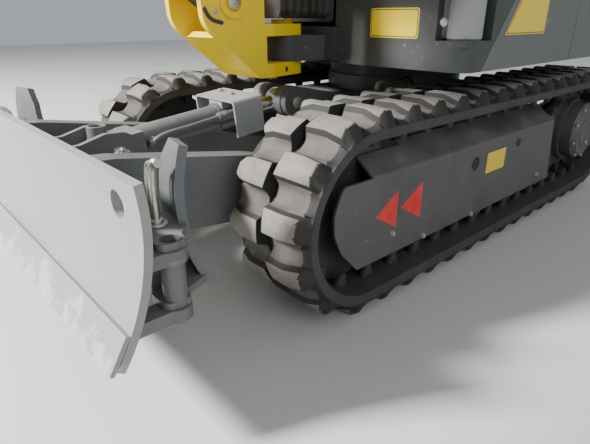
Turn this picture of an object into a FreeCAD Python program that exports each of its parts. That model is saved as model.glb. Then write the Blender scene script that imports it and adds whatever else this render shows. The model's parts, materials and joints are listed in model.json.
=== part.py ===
"""Mini excavator on rubber tracks, with a blade, a swinging boom and a cab.

Frame while modelling: x forward, y to the machine's left, z up, in millimetres,
with x = 0 on the slew axis and z = 0 on the ground. The finished nodes are then
moved along x so that the whole machine is centred on the origin.
"""

import FreeCAD
import Part
import math
import os

V = FreeCAD.Vector

# Whole machine
HALF_WIDTH = 495.0           # with the tracks drawn in
TRACK_OUT = HALF_WIDTH
BODY_HALF = HALF_WIDTH
TAIL_RADIUS = 660.0
TAIL_X = -math.sqrt(TAIL_RADIUS ** 2 - BODY_HALF ** 2)   # where the round tail meets the straight sides
ROOF_TOP = 2330.0
GAP = 0.4                    # between pieces of different bodies that nearly touch
RUNNING = 0.05               # radial clearance of a pin in its bore
SEAT = 0.3                   # between curved faces that seat on each other

# Tracks
TRACK_WIDTH = 230.0
TRACK_PITCH = 96.0
TRACK_LINKS = 38
SPROCKET_TEETH = 12
BELT_THICK = 25.0
LUG_HEIGHT = 30.0
LUG_FOOT = 64.0
LUG_TIP = 42.0
LUG_STAGGER = 26.0           # of the outer row of lugs behind the inner one
BELT_HALF_CORD = 13.4        # from the belt's inner face to its steel cords
HORN_HEIGHT = 31.0
HORN_FOOT = 40.0
HORN_TIP = 16.0
HORN_THICK = 14.0
HORN_OFFSET = 55.0           # from the track's middle to a row of horns
IDLER_X = 671.0
PITCH_RADIUS = SPROCKET_TEETH * TRACK_PITCH / (2 * math.pi)
BELT_IN = PITCH_RADIUS - BELT_HALF_CORD
BELT_OUT = BELT_IN + BELT_THICK
WHEEL_Z = BELT_OUT + LUG_HEIGHT
WHEEL_BASE = (TRACK_LINKS - SPROCKET_TEETH) * TRACK_PITCH / 2
DRIVE_X = IDLER_X - WHEEL_BASE
TRACK_IN = TRACK_OUT - TRACK_WIDTH
TRACK_MID = TRACK_OUT - TRACK_WIDTH / 2
BELT_FLOOR = WHEEL_Z - BELT_IN

# Track frame, guard and wheels inside the track
SHEET = 6.0
GUARD_OUT = TRACK_OUT - 40
GUARD_TOP = 300.0
GUARD_BOTTOM = 96.0
GUARD_REAR = -287.0
GUARD_FOOT = -325.0          # its rear edge at the bottom
GUARD_NOSE = ((736.0, 300.0, 22.0), (759.0, 246.0, 40.0), (757.0, 200.0, 40.0), (733.0, 150.0, 60.0),
              (681.0, 96.0, 8.0))     # x, z, radius
GUARD_FOLD = 14.0
FLANGE_TOP = 350.0
FLANGE_IN = TRACK_OUT - 107
BEAM_IN = TRACK_IN + 53
BEAM_FLOOR = 152.0
CHEEK = 12.0
BEAM_FRONT = 486.0
BEAM_REAR = -396.0
ROLLER_X = (-340.0, -120.0, 100.0, 320.0)
ROLLER_R = 45.0
SHAFT_R = 11.0
IDLER_HALF = 18.0
IDLER_HUB_R = 42.0
FORK_GAP = 34.0
FORK_THICK = 16.0
MOTOR_R = 110.0
MOTOR_FACE = TRACK_OUT - 25
MOTOR_PLATE = 16.0
SPROCKET_HALF = 14.0
CROSS_X = (-195.0, 195.0)
CROSS_SIZE = 84.0
CROSS_Z = 292.0
CROSS_END = 12.0

# Centre frame and slew ring
CENTRE_X0 = -300.0
CENTRE_X1 = 330.0
CENTRE_HALF = TRACK_IN - 29
CENTRE_Z0 = 226.0
CENTRE_Z1 = 402.0
RING_R = 222.0
RING_SPLIT = 447.0
DECK_Z = 500.0

# Blade
BLADE_PIVOT = (410.0, 195.0)
BLADE_HALF = HALF_WIDTH - 5
BLADE_PLATE = 14.0
BLADE_FACE = ((1180.0, 416.0), (1181.0, 296.0), (1241.0, 149.0))
BLADE_HOLE = (BLADE_HALF - 74, 370.0, 22.0)      # y, z, radius
ARM_OUT = TRACK_IN - 25
ARM_IN = ARM_OUT - 50
ARM_PIN_R = 20.0
EDGE_HEIGHT = 56.0
EDGE_THICK = 8.0
EDGE_DROP = 8.0
BLADE_EYE = (1022.0, 345.0)
FRAME_EYE = (520.0, 402.0)
FRAME_EYE_HALF = 24.0
BLADE_EYE_HALF = 46.0
EAR_THICK = 14.0
RAIL_X = 1128.0               # behind the blade, from one bracket of the wings to the other
RAIL_HALF = BLADE_HALF - 60
RAIL_Z0 = 226.0
RAIL_Z1 = 268.0
BLADE_BARREL_R = 32.0
BLADE_ROD_R = 17.0
BLADE_EYE_R = 36.0
BLADE_BARREL = 333.0
BLADE_ROD_START = 117.0

# Folding blade wings
WING_X = 1127.0
WING_Y = BLADE_HALF - 21.5
WING_PIN_R = 19.0            # a tube, open at its top
WING_PIN_BORE = 15.0
WING_WIDTH = 112.0
WING_SETBACK = 22.5          # from the hinge in to the plate's end
WING_FACE = ((1081.0, 444.0), (1094.0, 335.0), (1050.0, 194.0))
WING_PLATE = 15.0
WING_SLANT = 14.0
WING_BRACKET = 22.0
WING_SHELF = ((208.0, 12.0), (306.0, 12.0))   # bottom z, thickness

# Swing post
SWING_X = 503.0
SWING_PIN_R = 30.0
LUG_Z0 = 508.0
LUG_Z1 = 572.0
POST_EAR_TOP = 600.0
LUG_NOSE = 55.0
POST_HALF = 79.0
POST_PLATE = 16.0
BOOM_FOOT = (630.0, 835.0)
CYL_BASE = (720.0, 648.0)
FOOT_PIN_R = 24.0

# Boom, arm and bucket, with the angles at which the machine is parked
BOOM_LENGTH = 1720.0
BOOM_BEND = (700.0, 250.0)
BOOM_DEPTH_FOOT = 110.0
BOOM_DEPTH_BEND = 190.0
BOOM_DEPTH_TIP = 96.0
BOOM_HALF = 44.0
BOOM_EYE = (680.0, 12.0)
BOOM_TOP_EYE = (848.0, 397.0)
BOOM_FORK = 190.0
ARM_LENGTH = 960.0
ARM_HANG = 10.0              # from plumb, tip towards the machine
ARM_HALF = 36.0
ARM_LEVER = 170.0
ARM_LEVER_TURN = 31.0        # of the rear lug, from the boom's chord
ARM_CYL_EYE = (61.0, 135.0)  # bucket cylinder's base on the arm, along and off
ROCKER_BACK = 190.0
ROCKER_OFF = 35.0
ROCKER_LENGTH = 217.0
LINK_LENGTH = 266.0
BUCKET_LEVER = 111.0
LINK_IN = ARM_HALF + 5       # inner faces of the plates beside the arm's tip
LINK_THICK = 11.0
LINK_TUBE_R = 26.0
ROCKER_IN = LINK_IN + LINK_THICK + 1.5
ROCKER_THICK = 12.0
BUCKET_EAR_IN = ROCKER_IN + ROCKER_THICK + 4.5
BUCKET_EAR_THICK = 16.0
BUCKET_HEEL_TURN = 30.0      # from the bucket's flat bottom to the line of its two eyes
BUCKET_TEETH_TURN = 113.0    # from the bucket's link eye to its teeth
BUCKET_DROP = 346.0          # from its pivot down to its flat bottom
BUCKET_NECK = 62.0           # from the line of its eyes to its top plate
TOOTH_LENGTH = 62.0
TOOTH_COUNT = 4
BUCKET_RADIUS = 535.0
BUCKET_HALF = 225.0
BUCKET_PLATE = 10.0
FLOOR_CLEAR = 3.0            # under the parked bucket
PIN_R = 18.0
EYE_R = 32.0
BARREL_R = 38.0
BARREL_NECK = 1.95            # from a barrel's eye to its tube, in radii of the eye
ROD_R = 19.0

# House
SKIN = 12.0
HOUSE_FRONT = 400.0
FLOOR_Z = 690.0
SILL_Z = 500.0
SEAM_LOW = (333.0, SILL_Z)
SEAM_HIGH = (188.0, FLOOR_Z)
REAR_SEAM_X = -182.0
MOUTH_Y = (-108.0, 96.0)     # opening in the front panel, for the lug's root and the hoses
POST_X = 352.0
POST_Y = BODY_HALF - 39
POST_R = 38.0
PILLAR_X = 380.0
PILLAR_R = 33.0
POST_FOOT_Z = 570.0
CAB_LEFT = BODY_HALF - 11
CAB_RIGHT = CAB_LEFT - 710
CAB_MID = (CAB_LEFT + CAB_RIGHT) / 2
CAB_REAR = -330.0
CAB_WALL = 30.0
CAB_FLOOR = 702.0
CAB_FRONT = 410.0
CAB_WAIST = 1500.0           # where the front starts to lean back
SIDE_SILL = 1180.0
SIDE_HEAD = 2170.0
DOOR_REAR = -170.0
DOOR_FRONT = 330.0
DOOR_SILL = 730.0
DOOR_HEAD = 2190.0
DOOR_THICK = 26.0
DOOR_AXIS = (-181.0, CAB_LEFT + 2)
DOOR_HINGE_Z = (900.0, 1960.0)
HINGE_HEIGHT = 60.0
HINGE_R = 9.0
GLASS = 5.0
WEIGHT_TOP = 868.0
HOOD_TOP = 1160.0
HOOD_HALF = BODY_HALF - 70
HOOD_WALL = 24.0
HOOD_LIFT = 5.0              # between the counterweight and the hood
HOOD_AXIS = (-482.0, -HOOD_HALF - 3)
HOOD_PIN_R = 8.0
ENGINE_X0 = -580.0
ENGINE_X1 = -402.0
ENGINE_HALF = 230.0
ENGINE_TOP = 1040.0


def box(x0, x1, y0, y1, z0, z1):
    return Part.makeBox(x1 - x0, y1 - y0, z1 - z0, V(x0, y0, z0))


def cylinder(start, direction, radius, length):
    return Part.makeCylinder(radius, length, V(*start), V(*direction))


def cross_pin(x, z, radius, y0, y1):
    return cylinder((x, y0, z), (0, 1, 0), radius, y1 - y0)


def fuse(*shapes):
    whole = shapes[0].fuse(list(shapes[1:])) if len(shapes) > 1 else shapes[0]
    return whole.removeSplitter()


def cut(shape, *tools):
    return shape.cut(list(tools))


def outline(rows):
    """Closed wire in the x z plane from rows of (x, z, corner radius)."""
    count = len(rows)
    ends = []
    edges = []
    for i, (x, z, radius) in enumerate(rows):
        corner = V(x, 0, z)
        before = V(rows[i - 1][0], 0, rows[i - 1][1]) - corner
        after = V(rows[(i + 1) % count][0], 0, rows[(i + 1) % count][1]) - corner
        if radius <= 0:
            ends.append((corner, corner, None))
            continue
        half = before.getAngle(after) / 2
        before.normalize()
        after.normalize()
        back = radius / math.tan(half)
        start = corner + before * back
        end = corner + after * back
        middle = before + after
        middle.normalize()
        centre = corner + middle * (radius / math.sin(half))
        ends.append((start, end, centre - middle * radius))
    for i in range(count):
        start, end, middle = ends[i]
        if middle is not None:
            edges.append(Part.Arc(start, middle, end).toShape())
        following = ends[(i + 1) % count][0]
        if end.distanceToPoint(following) > 1e-6:
            edges.append(Part.LineSegment(end, following).toShape())
    return Part.Wire(edges)


def plate_y(rows, y0, y1):
    """Outline in the x z plane, made solid from y0 to y1."""
    face = Part.Face(outline(rows))
    face.translate(V(0, y0, 0))
    return face.extrude(V(0, y1 - y0, 0))


def plate_z(rows, z0, z1):
    """Outline of (x, y, radius) rows, made solid from z0 to z1."""
    solid = plate_y(rows, 0, z1 - z0)
    solid.rotate(V(0, 0, 0), V(1, 0, 0), -90)
    solid.translate(V(0, 0, z1))
    return solid


def plate_x(rows, x0, x1):
    """Outline of (y, z, radius) rows, made solid from x0 to x1."""
    solid = plate_y(rows, 0, x1 - x0)
    solid.rotate(V(0, 0, 0), V(0, 0, 1), 90)
    solid.translate(V(x1, 0, 0))
    return solid


def strap(ends, y0, y1):
    """Plate between two round ends, each (x, z, radius), with tangent edges."""
    (ax, az, ar), (bx, bz, br) = ends
    length = math.hypot(bx - ax, bz - az)
    along = math.atan2(bz - az, bx - ax)
    lean = math.acos((ar - br) / length)
    corners = []
    for side in (1, -1):
        turn = along + side * lean
        corners.append((V(ax + ar * math.cos(turn), y0, az + ar * math.sin(turn)),
                        V(bx + br * math.cos(turn), y0, bz + br * math.sin(turn))))
    (a1, b1), (a2, b2) = corners
    far_a = V(ax - ar * math.cos(along), y0, az - ar * math.sin(along))
    far_b = V(bx + br * math.cos(along), y0, bz + br * math.sin(along))
    wire = Part.Wire([Part.LineSegment(a1, b1).toShape(), Part.Arc(b1, far_b, b2).toShape(),
                      Part.LineSegment(b2, a2).toShape(), Part.Arc(a2, far_a, a1).toShape()])
    return Part.Face(wire).extrude(V(0, y1 - y0, 0))


def bent_plate(face, thickness, y0, y1):
    """Plate whose front follows the arc through three (x, z) points."""
    first, middle, last = (V(x, y0, z) for x, z in face)
    circle = Part.Arc(first, middle, last).toShape()
    centre = circle.Curve.Center
    toward = 1 if centre.x < middle.x else -1
    back = []
    for point in (last, middle, first):
        radial = centre - point
        radial.normalize()
        back.append(point + radial * thickness * toward)
    edges = [circle, Part.LineSegment(last, back[0]).toShape(),
             Part.Arc(back[0], back[1], back[2]).toShape(),
             Part.LineSegment(back[2], first).toShape()]
    return Part.Face(Part.Wire(edges)).extrude(V(0, y1 - y0, 0))


def turned(rows, x, z):
    """Solid turned about the line y through (x, z), from (y, radius) rows."""
    points = [V(x, rows[0][0], z)] + [V(x, y, z + r) for y, r in rows] + [V(x, rows[-1][0], z)]
    wire = Part.makePolygon(points + [points[0]])
    return Part.Face(wire).revolve(V(x, 0, z), V(0, 1, 0), 360)


def mirrored(shape):
    return shape.mirror(V(0, 0, 0), V(0, 1, 0))


def polar(origin, angle, distance):
    return (origin[0] + distance * math.cos(math.radians(angle)),
            origin[1] + distance * math.sin(math.radians(angle)))


def heading(start, end):
    return math.degrees(math.atan2(end[1] - start[1], end[0] - start[0]))


def placed(shape, origin, angle):
    """Shape drawn along +x from the origin, turned up by angle and moved to origin."""
    moved = shape.copy()
    moved.rotate(V(0, 0, 0), V(0, 1, 0), -angle)
    moved.translate(V(origin[0], 0, origin[1]))
    return moved


# Where the links of the working arm stand when parked
ARM_ANGLE = 270.0 - ARM_HANG
BUCKET_LEVER_TURN = 360.0 - ARM_ANGLE - BUCKET_HEEL_TURN
ARM_RISE = FLOOR_CLEAR + BUCKET_DROP + ARM_LENGTH * math.cos(math.radians(ARM_HANG)) - BOOM_FOOT[1]
BOOM_RAISE = math.degrees(math.asin(ARM_RISE / BOOM_LENGTH))
ARM_PIVOT = polar(BOOM_FOOT, BOOM_RAISE, BOOM_LENGTH)
BUCKET_PIVOT = polar(ARM_PIVOT, ARM_ANGLE, ARM_LENGTH)


def from_boom(along, off):
    return polar(polar(BOOM_FOOT, BOOM_RAISE, along), BOOM_RAISE + 90, off)


def from_arm(along, off):
    return polar(polar(ARM_PIVOT, ARM_ANGLE, along), ARM_ANGLE + 90, off)


def meet(first, reach_first, second, reach_second):
    """Point at the two distances from two pivots, on the left of the line between them."""
    span = math.hypot(second[0] - first[0], second[1] - first[1])
    along = (reach_first ** 2 - reach_second ** 2 + span ** 2) / (2 * span)
    off = math.sqrt(reach_first ** 2 - along ** 2)
    line = heading(first, second)
    return polar(polar(first, line, along), line + 90, off)


BOOM_CYL_EYE = from_boom(*BOOM_EYE)
ARM_CYL_BASE = from_boom(*BOOM_TOP_EYE)
ARM_REAR_EYE = polar(ARM_PIVOT, BOOM_RAISE + ARM_LEVER_TURN, ARM_LEVER)
BUCKET_CYL_BASE = from_arm(*ARM_CYL_EYE)
ROCKER_PIVOT = from_arm(ARM_LENGTH - ROCKER_BACK, ROCKER_OFF)
BUCKET_EYE = polar(BUCKET_PIVOT, ARM_ANGLE + BUCKET_LEVER_TURN, BUCKET_LEVER)
ROCKER_EYE = meet(ROCKER_PIVOT, ROCKER_LENGTH, BUCKET_EYE, LINK_LENGTH)


# Track


def on_loop(distance, offset):
    """Point on the track's loop, by distance along its cords and offset from the belt's inner face."""
    half_turn = math.pi * PITCH_RADIUS
    distance %= 2 * (WHEEL_BASE + half_turn)
    radius = BELT_IN + offset
    if distance <= WHEEL_BASE:
        return V(DRIVE_X + distance, 0, WHEEL_Z + radius)
    distance -= WHEEL_BASE
    if distance <= half_turn:
        turn = math.pi / 2 - distance / PITCH_RADIUS
        return V(IDLER_X + radius * math.cos(turn), 0, WHEEL_Z + radius * math.sin(turn))
    distance -= half_turn
    if distance <= WHEEL_BASE:
        return V(IDLER_X - distance, 0, WHEEL_Z - radius)
    turn = -math.pi / 2 - (distance - WHEEL_BASE) / PITCH_RADIUS
    return V(DRIVE_X + radius * math.cos(turn), 0, WHEEL_Z + radius * math.sin(turn))


def loop_edges(start, end, offset):
    """Edges along the loop at one offset, split where a straight run meets a wheel."""
    half_turn = math.pi * PITCH_RADIUS
    whole = 2 * (WHEEL_BASE + half_turn)
    marks = [0, WHEEL_BASE, WHEEL_BASE + half_turn, 2 * WHEEL_BASE + half_turn]
    stops = sorted(m + lap * whole for m in marks for lap in (0, 1)
                   if start + 0.5 < m + lap * whole < end - 0.5)
    edges = []
    for a, b in zip([start] + stops, stops + [end]):
        middle = (a + b) / 2
        on_wheel = WHEEL_BASE < middle % whole < WHEEL_BASE + half_turn \
            or middle % whole > 2 * WHEEL_BASE + half_turn
        p, q = on_loop(a, offset), on_loop(b, offset)
        if on_wheel:
            edges.append(Part.Arc(p, on_loop(middle, offset), q).toShape())
        else:
            edges.append(Part.LineSegment(p, q).toShape())
    return edges


def toothed_wire(foot, tip, base, height, phase, curved):
    """Loop at the base offset with one trapezoid per link that rises to height."""
    edges = []
    for link in range(TRACK_LINKS):
        centre = link * TRACK_PITCH + phase
        a = on_loop(centre - foot / 2, base)
        b = on_loop(centre - tip / 2, height)
        c = on_loop(centre + tip / 2, height)
        d = on_loop(centre + foot / 2, base)
        for p, q in ((a, b), (b, c), (c, d)):
            edges.append(Part.LineSegment(p, q).toShape())
        if curved:
            edges += loop_edges(centre + foot / 2, centre + TRACK_PITCH - foot / 2, base)
        else:
            edges.append(Part.LineSegment(d, on_loop(centre + TRACK_PITCH - foot / 2, base)).toShape())
    return Part.Wire(edges)


def track():
    """Rubber belt with two staggered rows of lugs outside and two rows of horns inside."""
    pieces = []
    inner = Part.Face(Part.Wire(loop_edges(0, 2 * (WHEEL_BASE + math.pi * PITCH_RADIUS), 0)))
    for y0, y1, phase in ((TRACK_IN, TRACK_MID, 0.0), (TRACK_MID, TRACK_OUT, -LUG_STAGGER)):
        outer = Part.Face(toothed_wire(LUG_FOOT, LUG_TIP, BELT_THICK, BELT_THICK + LUG_HEIGHT, phase, False))
        ring = outer.cut(inner)
        ring.translate(V(0, y0, 0))
        pieces.append(ring.extrude(V(0, y1 - y0, 0)))
    rim = Part.Face(Part.Wire(loop_edges(0, 2 * (WHEEL_BASE + math.pi * PITCH_RADIUS), 2)))
    for side in (-1, 1):
        middle = TRACK_MID + side * HORN_OFFSET
        horns = rim.cut(Part.Face(toothed_wire(HORN_FOOT, HORN_TIP, 0, -HORN_HEIGHT, TRACK_PITCH / 2, True)))
        horns.translate(V(0, middle - HORN_THICK / 2, 0))
        pieces.append(horns.extrude(V(0, HORN_THICK, 0)))
    return fuse(*pieces)


# Track frame and its wheels, drawn for the left side


def roof_line(offset):
    """Corner points of the sloping top, moved in by the sheet's thickness times offset."""
    lean = math.atan2(FLANGE_TOP - GUARD_TOP, GUARD_OUT - FLANGE_IN)
    out = (GUARD_OUT - offset, GUARD_TOP - offset * math.tan(lean / 2) if offset else GUARD_TOP)
    top = (FLANGE_IN - offset * math.sin(lean), FLANGE_TOP - offset * math.cos(lean))
    return out, top


def track_frame():
    (out_y, out_z), (top_y, top_z) = roof_line(SHEET)
    beam = plate_x([(BEAM_IN, BEAM_FLOOR, 0), (out_y, BEAM_FLOOR, 0), (out_y, out_z, 0),
                    (top_y, top_z, 0), (BEAM_IN, top_z, 0)], GUARD_REAR, BEAM_FRONT)
    tail = box(BEAM_REAR, GUARD_REAR, BEAM_IN, TRACK_MID + FORK_GAP, BEAM_FLOOR, GUARD_TOP)
    cheek = box(BEAM_REAR, BEAM_FRONT, BEAM_IN, BEAM_IN + CHEEK, GUARD_BOTTOM, BEAM_FLOOR)
    pieces = [beam, tail, cheek]
    for side in (-1, 1):
        near = TRACK_MID + side * FORK_GAP
        far = near + side * FORK_THICK
        pieces.append(strap(((BEAM_FRONT - 20, WHEEL_Z, 38), (IDLER_X, WHEEL_Z, 38)),
                            min(near, far), max(near, far)))
    pieces.append(strap(((BEAM_REAR + 20, WHEEL_Z, MOTOR_R - 30), (DRIVE_X, WHEEL_Z, MOTOR_R - 8)),
                        BEAM_IN, BEAM_IN + MOTOR_PLATE))
    for x in CROSS_X:
        pieces.append(box(x - CROSS_SIZE / 2, x + CROSS_SIZE / 2, CROSS_END, BEAM_IN + 1,
                          CROSS_Z - CROSS_SIZE / 2, CROSS_Z + CROSS_SIZE / 2))
    return fuse(*pieces)


def track_guard():
    (out_y, out_z), (top_y, top_z) = roof_line(SHEET)
    folded = plate_x([(GUARD_OUT, GUARD_BOTTOM, 0), (GUARD_OUT, GUARD_TOP, GUARD_FOLD), (FLANGE_IN, FLANGE_TOP, 0),
                      (top_y, top_z, 0), (out_y, out_z, 0), (GUARD_OUT - SHEET, GUARD_BOTTOM, 0)],
                     GUARD_FOOT, GUARD_NOSE[1][0])
    blank = plate_y([(640, GUARD_TOP, 0), (640, FLANGE_TOP + 1, 0), (GUARD_REAR, FLANGE_TOP + 1, 0),
                     (GUARD_REAR, GUARD_TOP, 0), (GUARD_FOOT, GUARD_BOTTOM, 0), *reversed(GUARD_NOSE)],
                    FLANGE_IN - 20, GUARD_OUT + 1)
    sheet = folded.common(blank)
    holes = [cross_pin(206, 248, 20, GUARD_OUT - SHEET - 1, GUARD_OUT + 1),
             cross_pin(-44, 268, 12, GUARD_OUT - SHEET - 1, GUARD_OUT + 1)]
    return cut(sheet, box(BEAM_FRONT, 641, FLANGE_IN - 8, FLANGE_IN + 14, GUARD_TOP, FLANGE_TOP + 1), *holes)


def idler():
    rim = BELT_IN - SEAT
    rows = [(-FORK_GAP, IDLER_HUB_R), (-IDLER_HALF, IDLER_HUB_R), (-IDLER_HALF, rim)]
    rows += [(-y, r) for y, r in reversed(rows)]
    return turned([(TRACK_MID + y, r) for y, r in rows], IDLER_X, WHEEL_Z)


def rollers():
    near = BEAM_IN + CHEEK
    far = GUARD_OUT - SHEET
    half = HORN_OFFSET - HORN_THICK / 2 - 3
    rows = [(near - TRACK_MID, SHAFT_R), (-half, SHAFT_R), (-half, ROLLER_R), (half, ROLLER_R), (half, SHAFT_R),
            (far - TRACK_MID, SHAFT_R)]
    z = BELT_FLOOR + ROLLER_R + SEAT
    solids = [turned([(TRACK_MID + y, r) for y, r in rows], x, z) for x in ROLLER_X]
    return Part.makeCompound(solids)


def sprocket():
    rim = BELT_IN - SEAT
    step = 360.0 / SPROCKET_TEETH
    disc = cross_pin(DRIVE_X, WHEEL_Z, rim - 32, TRACK_MID - SPROCKET_HALF, TRACK_MID + SPROCKET_HALF)
    teeth = []
    for i in range(SPROCKET_TEETH):
        tooth = plate_y([(rim - 40, -24, 0), (rim - 1, -12, 4), (rim - 1, 12, 4), (rim - 40, 24, 0)],
                        TRACK_MID - SPROCKET_HALF, TRACK_MID + SPROCKET_HALF)
        tooth.rotate(V(0, 0, 0), V(0, 1, 0), i * step)
        tooth.translate(V(DRIVE_X, 0, WHEEL_Z))
        teeth.append(tooth)
    bore = cross_pin(DRIVE_X, WHEEL_Z, 72, TRACK_MID - 50, TRACK_MID + 50)
    return cut(fuse(disc, *teeth), bore)


def travel_motor():
    rows = [(BEAM_IN + MOTOR_PLATE, 88), (TRACK_MID - SPROCKET_HALF, 88), (TRACK_MID - SPROCKET_HALF, 71.5),
            (TRACK_MID + SPROCKET_HALF, 71.5), (TRACK_MID + SPROCKET_HALF, 112), (TRACK_MID + 34, 112),
            (TRACK_MID + 34, MOTOR_R - 8), (MOTOR_FACE - 16, MOTOR_R - 8), (MOTOR_FACE, MOTOR_R - 24)]
    return turned(rows, DRIVE_X, WHEEL_Z)


# Centre frame


def centre_frame():
    body = plate_y([(CENTRE_X0, CENTRE_Z0 + 40, 10), (CENTRE_X0, CENTRE_Z1 - 20, 10), (-240, CENTRE_Z1, 20),
                    (CENTRE_X1, CENTRE_Z1, 20), (CENTRE_X1 + 90, 250, 20), (CENTRE_X1 + 80, 150, 20),
                    (CENTRE_X1 + 20, 150, 20), (280, CENTRE_Z0, 20), (CENTRE_X0 + 40, CENTRE_Z0, 10)],
                   -CENTRE_HALF + 60, CENTRE_HALF - 60)
    saddle = box(-260, 270, -CENTRE_HALF, CENTRE_HALF, CROSS_Z - 60, CROSS_Z + 60)
    ring = cylinder((0, 0, CENTRE_Z1 - 4), (0, 0, 1), RING_R, RING_SPLIT - CENTRE_Z1 + 4)
    pieces = [body, saddle, ring]
    for side in (-1, 1):
        near = side * (FRAME_EYE_HALF + 2)
        far = side * (FRAME_EYE_HALF + 2 + 28)
        pieces.append(strap(((CENTRE_X1 - 60, 350, 44), (*FRAME_EYE, 42)), min(near, far), max(near, far)))
        pieces.append(cross_pin(*FRAME_EYE, 39, min(far, far + side * 20), max(far, far + side * 20)))
        pieces.append(cross_pin(*FRAME_EYE, 19, min(far, far + side * 24), max(far, far + side * 24)))
        inner = side * (ARM_IN - GAP)
        root = side * (CENTRE_HALF - 62)
        pieces.append(strap(((*BLADE_PIVOT, 44), (CENTRE_X1 - 40, 250, 60)), min(inner, root), max(inner, root)))
        cap = side * (ARM_OUT + 8)
        pieces.append(cross_pin(*BLADE_PIVOT, ARM_PIN_R, min(root, cap), max(root, cap)))
        rim = side * (ARM_OUT + GAP)
        pieces.append(cross_pin(*BLADE_PIVOT, ARM_PIN_R + 12, min(rim, cap), max(rim, cap)))
    whole = fuse(*pieces)
    slots = [box(x - CROSS_SIZE / 2 - GAP, x + CROSS_SIZE / 2 + GAP, -CENTRE_HALF - 1, CENTRE_HALF + 1,
                 CROSS_Z - CROSS_SIZE / 2 - GAP, CROSS_Z + CROSS_SIZE / 2 + GAP) for x in CROSS_X]
    return cut(whole, *slots)


# Blade and its cylinder


def blade_plate():
    plate = bent_plate(BLADE_FACE, BLADE_PLATE, -BLADE_HALF, BLADE_HALF)
    y, z, radius = BLADE_HOLE
    holes = [cylinder((1100, side * y, z), (1, 0, 0), radius, 120) for side in (-1, 1)]
    return cut(plate, *holes)


def arc_x(face, height):
    """x at a height on the arc through three (x, z) points."""
    circle = Part.Arc(*[V(x, 0, z) for x, z in face]).toShape().Curve
    side = 1 if circle.Center.x < face[1][0] else -1
    return circle.Center.x + side * math.sqrt(circle.Radius ** 2 - (height - circle.Center.z) ** 2)


def blade_face_circle():
    top, middle, foot = (V(x, 0, z) for x, z in BLADE_FACE)
    circle = Part.Arc(top, middle, foot).toShape().Curve
    return circle.Center, circle.Radius


def blade_edge():
    """Flat cutting edge on the foot of the blade's face, seated on its two long edges."""
    centre, radius = blade_face_circle()
    foot = (BLADE_FACE[2][0], BLADE_FACE[2][1])
    start = heading((centre.x, centre.z), foot)
    upper = polar((centre.x, centre.z), start - math.degrees(EDGE_HEIGHT / radius), radius)
    along = heading(upper, foot)
    ends = [polar(upper, along + 90, SEAT), polar(polar(foot, along, EDGE_DROP), along + 90, SEAT)]
    rows = [(*ends[0], 0), (*ends[1], 0), (*polar(ends[1], along + 90, EDGE_THICK), 0),
            (*polar(ends[0], along + 90, EDGE_THICK), 0)]
    return plate_y(rows, -BLADE_HALF, BLADE_HALF)


def ahead_of_blade():
    """Everything from the blade's rear face forwards, to trim what is welded to it."""
    centre, radius = blade_face_circle()
    reach = radius + BLADE_PLATE + SEAT
    points = []
    for x, z in ((BLADE_FACE[0][0], BLADE_FACE[0][1] + 60), BLADE_FACE[1], (BLADE_FACE[2][0], BLADE_FACE[2][1] - 60)):
        turn = heading((centre.x, centre.z), (x, z))
        point = polar((centre.x, centre.z), turn, reach)
        points.append(V(point[0], -BLADE_HALF - 1, point[1]))
    far = V(centre.x + 100, -BLADE_HALF - 1, points[1].z)
    edges = [Part.Arc(*points).toShape(), Part.LineSegment(points[2], far).toShape(),
             Part.LineSegment(far, points[0]).toShape()]
    return Part.Face(Part.Wire(edges)).extrude(V(0, 2 * BLADE_HALF + 2, 0))


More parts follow.
